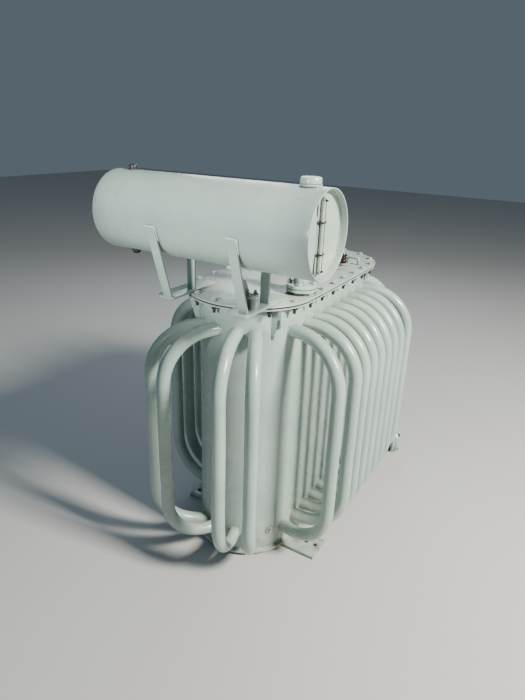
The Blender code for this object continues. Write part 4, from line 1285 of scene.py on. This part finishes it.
def makeBushings(kinds, shares):
    for kind, shape in kinds.items():
        bodies, nodes, caps, rings, seats = [], [], [], [], []
        for index in range(shape["count"]):
            node = f"{kind}_bushing_{index + 1}"
            low, high = span(node)
            nodes.append(node)
            middle, tall, wide = (low + high) / 2, high.z - low.z, (high.x - low.x) / 2
            place = Matrix.Translation((middle.x, middle.y, low.z))
            body = wide * shape["body"]
            capLow, gap, ring = tall * shares["capLow"], tall * shares["shedGap"], shape["ring"]
            profile = [(0.0, capLow), (body * 0.66, capLow), (body * 0.82, capLow - tall * 0.015)]
            pitch = (capLow - gap - ring * shares["ringRoom"]) / shape["sheds"]
            for shed in range(shape["sheds"]):
                top = capLow - gap - shed * pitch
                reach = wide * (shares["topShed"] + shares["shedGrowth"] * shed / max(1, shape["sheds"] - 1))
                profile += [(body * 0.84, top), (body * 0.90, top - pitch * 0.14),
                            (reach * 0.94, top - pitch * 0.40), (reach, top - pitch * 0.46),
                            (reach * 0.985, top - pitch * 0.53), (body * 1.04, top - pitch * 0.58),
                            (body * 0.86, top - pitch * 0.66)]
            profile += [(body * 0.95, ring * 1.5), (body * 1.02, ring), (body * 1.02, 0.002), (0.0, 0.002)]
            bodies.append(turned("glaze", profile, shares["bodySteps"], place, smoothAngle=40.0))
            caps.append(turned("cap", [(0.0, tall * 0.86), (body * 0.50, tall * 0.86),
                                       (body * 0.60, tall * 0.85), (body * 0.64, tall * 0.795),
                                       (0.0, tall * 0.795)], 32, place))
            stem = body * shares["stem"]
            caps.append(turned("stem", [(0.0, tall), (stem * 0.8, tall), (stem, tall - 0.001),
                                        (stem, tall * 0.85), (0.0, tall * 0.85)], 16, place))
            caps.append(turned("nut", [(0.0, tall * 0.93), (stem * 1.8, tall * 0.93),
                                       (stem * 2.0, tall * 0.925), (stem * 2.0, tall * 0.862),
                                       (0.0, tall * 0.862)], 6, place, smoothAngle=20.0))
            rings.append(flangeDisc("ring", body * shares["ringWide"], ring, body * shares["ringBore"],
                                    place @ Matrix.Translation((0, 0, shares["ringLift"])), 0.001))
            seats.append(flangeDisc("seat", body * shares["seatWide"], shares["seatThick"],
                                    body * shares["seatBore"], place, 0.0004))
        settle(joined(kind + "BushingGlaze", bodies), brownGlaze, "porcelain", *nodes)
        settle(joined(kind + "BushingStems", caps), plainSteel, "steel")
        settle(joined(kind + "BushingRings", rings), fittingPaint, "paint")
        settle(joined(kind + "BushingSeats", seats), darkGasketAndShade, "gasket")


makeBushings(bushings, bushingShares)
print("bushings made")


# drain branch at the far end and earth bolt at the near end

lowBranches = {"drainAngle": 52.0, "pipeRadius": 0.032, "flangeRadius": 0.075, "flangeThick": 0.016,
               "blindShare": 0.9, "packing": 0.0024, "hubRadius": 0.022, "bolts": 4, "boltRadius": 0.058,
               "reach": 0.259, "boltAngle": 58.5, "bossRadius": 0.016,
               "nuts": {"flats": 0.019, "hexHeight": 0.009, "washerRadius": 0.012, "washerThick": 0.002,
                        "threadRadius": 0.006, "threadOut": 0.004},
               "earthBolt": {"flats": 0.015, "hexHeight": 0.0055, "washerRadius": 0.0115,
                             "washerThick": 0.0016, "threadRadius": 0.0045, "threadOut": 0.0005}}


def outFrame(angle, end, height, distance):
    # a frame whose Z points out of a rounded end
    turn = math.radians(angle)
    out = Vector((math.sin(turn), end * math.cos(turn), 0.0))
    side = upZ.cross(out)
    matrix = Matrix((side, out.cross(side), out)).transposed().to_4x4()
    matrix.translation = roundedEnd(angle, end, distance, height)
    return matrix, out


def makeBranches(shape):
    low, high = span("drain_branch")
    height = (low.z + high.z) / 2
    frameOf, out = outFrame(shape["drainAngle"], 1, height, tankRadius)
    pipe, rim, thick, reach = (shape[k] for k in ("pipeRadius", "flangeRadius", "flangeThick", "reach"))
    flangeSeat, blindThick, packingThick = reach - thick, thick * shape["blindShare"], shape["packing"]
    body = turned("drainPipe", [(0.0, flangeSeat + 0.002), (pipe, flangeSeat + 0.002),
                                (pipe, flangeSeat - 0.008), (pipe, -0.003), (0.0, -0.003)], 40, frameOf)
    inner = flangeDisc("innerFlange", rim, thick, pipe - 0.004,
                       frameOf @ Matrix.Translation((0, 0, flangeSeat)), 0.0016)
    blind = turned("blind", [(0.0, blindThick), (rim - 0.0015, blindThick), (rim, blindThick - 0.0015),
                             (rim, 0.0), (0.0, 0.0)],
                   64, frameOf @ Matrix.Translation((0, 0, reach + packingThick)))
    hubRadius = shape["hubRadius"]
    hub = turned("hub", [(0.0, 0.016), (hubRadius * 0.86, 0.016), (hubRadius, 0.013), (hubRadius, 0.0),
                         (0.0, 0.0)],
                 8, frameOf @ Matrix.Translation((0, 0, reach + blindThick)), smoothAngle=20.0)
    settle(joined("drainBranch", [body, inner, blind]), fittingPaint, "paint", "drain_branch")
    settle(hub, plainSteel, "steel")
    packing = flangeDisc("drainGasket", rim - 0.001, 0.0030, pipe,
                         frameOf @ Matrix.Translation((0, 0, reach - 0.0003)), 0.0004)
    settle(packing, darkGasketAndShade, "gasket")
    places, circle = [], shape["boltRadius"]
    for index in range(shape["bolts"]):
        turn = math.tau * (index + 0.5) / shape["bolts"]
        spot = Vector((circle * math.cos(turn), circle * math.sin(turn), 0.0))
        places.append((frameOf @ (spot + upZ * (reach + blindThick + packingThick)), out))
        places.append((frameOf @ (spot + upZ * flangeSeat), -out))
    settle(fasteners("drainBolts", places, shape["nuts"], blackSteelAndShade, seed=31), blackSteelAndShade, "steel")
    low, high = span("earth_bolt")
    frameOf, out = outFrame(shape["boltAngle"], -1, (low.z + high.z) / 2, tankRadius)
    radius = shape["bossRadius"]
    boss = turned("boss", [(0.0, 0.006), (radius - 0.001, 0.006), (radius, 0.005), (radius, -0.001),
                           (0.0, -0.001)], 32, frameOf)
    settle(boss, fittingPaint, "paint", "earth_bolt")
    head = fasteners("earthBoltHead", [(frameOf @ Vector((0.0, 0.0, 0.0058)), out)], shape["earthBolt"],
                     plainSteel, seed=33)
    settle(head, plainSteel, "steel")


makeBranches(lowBranches)
print("branches made")


# weld beads round every tube end, along the plates' edges and at the fittings

welds = {"tube": 0.0030, "plate": 0.0034, "small": 0.0022, "step": 0.0036, "ripple": 0.9,
         "tubeOut": 0.0008, "plateOut": 0.0012, "plateUp": 0.0006, "rimOut": 0.0010, "rimDown": 0.0026,
         "outlineSteps": (64, 8), "endOut": 0.0040, "endIn": 0.0046, "endSteps": 96,
         "pipeOut": 0.0012, "pipeUp": (0.0008, 0.001), "headOut": 0.001, "headProud": 0.0004,
         "pipeSteps": 40}


def ringWire(place, radius, steps):
    # a closed round wire about a frame's Z
    turns = [math.tau * i / steps for i in range(steps)]
    return [place @ Vector((radius * math.cos(turn), radius * math.sin(turn), 0.0)) for turn in turns]


def makeWelds(sizes):
    wires = []
    for start, direction in tubeWires:
        for height in (tubeTop, tubeBottom):
            loop = wallMeeting(start, direction, height, tubeRadius + sizes["tubeOut"])
            wires.append((loop, True, sizes["tube"]))
    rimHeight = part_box("tank_rim_flange")[0][2] - sizes["rimDown"]
    for radius, height, size in ((tankRadius + sizes["plateOut"], wallLow.z + sizes["plateUp"], "plate"),
                                 (tankRadius + sizes["rimOut"], rimHeight, "tube")):
        loop = [Vector((x, y, height)) for x, y in stadium(radius, *sizes["outlineSteps"])]
        wires.append((loop, True, sizes[size]))
    piece = beads("tankWelds", wires, tankPaint, sizes["step"], sizes["ripple"])
    settle(piece, tankPaint, "paint")
    wires = []
    for x, face in ((span("conservator_end_right")[1].x, 1), (span("conservator_end_left")[0].x, -1)):
        place = drumFrame(x + face * sizes["endOut"])
        wires.append((ringWire(place, drumRadius - sizes["endIn"], sizes["endSteps"]), True, sizes["small"]))
    x, y, floor, seat = pipePlace
    radius, steps = oilPipe["radius"] + sizes["pipeOut"], sizes["pipeSteps"]
    stubUp, flangeUp = sizes["pipeUp"]
    for height in (floor + stubUp, seat + oilPipe["flangeThick"] + flangeUp):
        loop = []
        for i in range(steps):
            turn = math.tau * i / steps
            loop.append(Vector((x + radius * math.cos(turn), y + radius * math.sin(turn), height)))
        wires.append((loop, True, sizes["small"]))
    # where the pipe meets the drum's back
    radius, loop = oilPipe["radius"] + sizes["headOut"], []
    for i in range(steps):
        turn = math.tau * i / steps
        up = radius * math.sin(turn)
        back = math.sqrt(drumRadius ** 2 - up ** 2) + sizes["headProud"]
        loop.append(Vector((x + radius * math.cos(turn), drumAxis.y + back, drumAxis.z + up)))
    wires.append((loop, True, sizes["small"]))
    piece = beads("drumWelds", wires, tankPaint, sizes["step"], sizes["ripple"])
    settle(piece, tankPaint, "paint")


makeWelds(welds)
print("welds made")


# camera at the photograph's angle

cameraView = {"place": (1.0478, -2.0123, 1.690), "pitch": 22.57, "turn": 30.26, "roll": 1.99,
              "focalPixels": 545.45, "frameWidth": 525, "frameHeight": 700, "sensor": 36.0,
              "clip": (0.05, 60.0)}


def makeCamera(view):
    pitch, turn, roll = (math.radians(view[k]) for k in ("pitch", "turn", "roll"))
    ahead = Vector((-math.sin(turn) * math.cos(pitch), math.cos(turn) * math.cos(pitch), -math.sin(pitch)))
    level = Vector((math.cos(turn), math.sin(turn), 0.0))
    upward = level.cross(ahead)
    right = level * math.cos(roll) + upward * math.sin(roll)
    up = upward * math.cos(roll) - level * math.sin(roll)
    data = bpy.data.cameras.new("photoCamera")
    data.sensor_width = view["sensor"]
    data.lens = view["focalPixels"] * view["sensor"] / max(view["frameWidth"], view["frameHeight"])
    data.clip_start, data.clip_end = view["clip"]
    data.dof.use_dof = False
    camera = bpy.data.objects.new("photoCamera", data)
    bpy.context.scene.collection.objects.link(camera)
    matrix = Matrix((right, up, -ahead)).transposed().to_4x4()
    matrix.translation = Vector(view["place"])
    camera.matrix_world = matrix
    bpy.context.scene.camera = camera


makeCamera(cameraView)
print("camera placed")


# floor, soft light and a narrow beam for the drum's front

studio = {"floorHalf": 14.0, "floorColor": (0.50, 0.50, 0.49), "floorRough": 0.9,
          "sky": 0.155, "skyColor": (0.64, 0.83, 1.0),
          "lights": {  # place, aim, size, power and colour
              "keyLight": ((3.9, -0.50, 3.4), (0.1, -0.1, 0.8), 0.8, 600.0, (1.0, 0.95, 0.86)),
              "fillLight": ((-2.4, -3.4, 2.4), (0.0, -0.2, 0.7), 2.4, 15.0, (0.46, 0.76, 1.0)),
              "backLight": ((-1.8, 3.0, 3.0), (0.0, 0.0, 0.8), 2.0, 50.0, (0.80, 0.92, 1.0))},
          "beam": {"place": (0.1, -3.7, 1.95), "aim": (-0.02, -0.56, 1.46), "power": 640.0, "cone": 18.0,
                   "blend": 0.55, "size": 0.12, "color": (1.0, 0.98, 0.94)}}


def hang(name, data, place, aim):
    light = bpy.data.objects.new(name, data)
    light.location = place
    light.rotation_euler = (Vector(aim) - Vector(place)).to_track_quat("-Z", "Y").to_euler()
    bpy.context.scene.collection.objects.link(light)


def makeStudio(settings):
    mesh = bpy.data.meshes.new("studioFloor")
    size = settings["floorHalf"]
    mesh.from_pydata([(-size, -size, 0), (size, -size, 0), (size, size, 0), (-size, size, 0)], [],
                     [(0, 1, 2, 3)])
    floor = newObject("studioFloor", mesh)
    finish, shader = newFinish("paleFloor")[::2]
    shader["Base Color"].default_value = (*settings["floorColor"], 1.0)
    shader["Roughness"].default_value = settings["floorRough"]
    mesh.materials.append(finish)
    world = bpy.data.worlds.new("softSky")
    world.use_nodes = True
    sky = world.node_tree.nodes["Background"].inputs
    sky["Color"].default_value = (*settings["skyColor"], 1.0)
    sky["Strength"].default_value = settings["sky"]
    bpy.context.scene.world = world
    for name, (place, aim, size, power, color) in settings["lights"].items():
        data = bpy.data.lights.new(name, "AREA")
        data.shape = "SQUARE"
        data.size = size
        data.energy = power
        data.color = color
        hang(name, data, place, aim)
    beam = settings["beam"]
    data = bpy.data.lights.new("drumLight", "SPOT")
    data.energy = beam["power"]
    data.color = beam["color"]
    data.spot_size = math.radians(beam["cone"])
    data.spot_blend = beam["blend"]
    data.shadow_soft_size = beam["size"]
    hang("drumLight", data, beam["place"], beam["aim"])


makeStudio(studio)
print("studio lit")
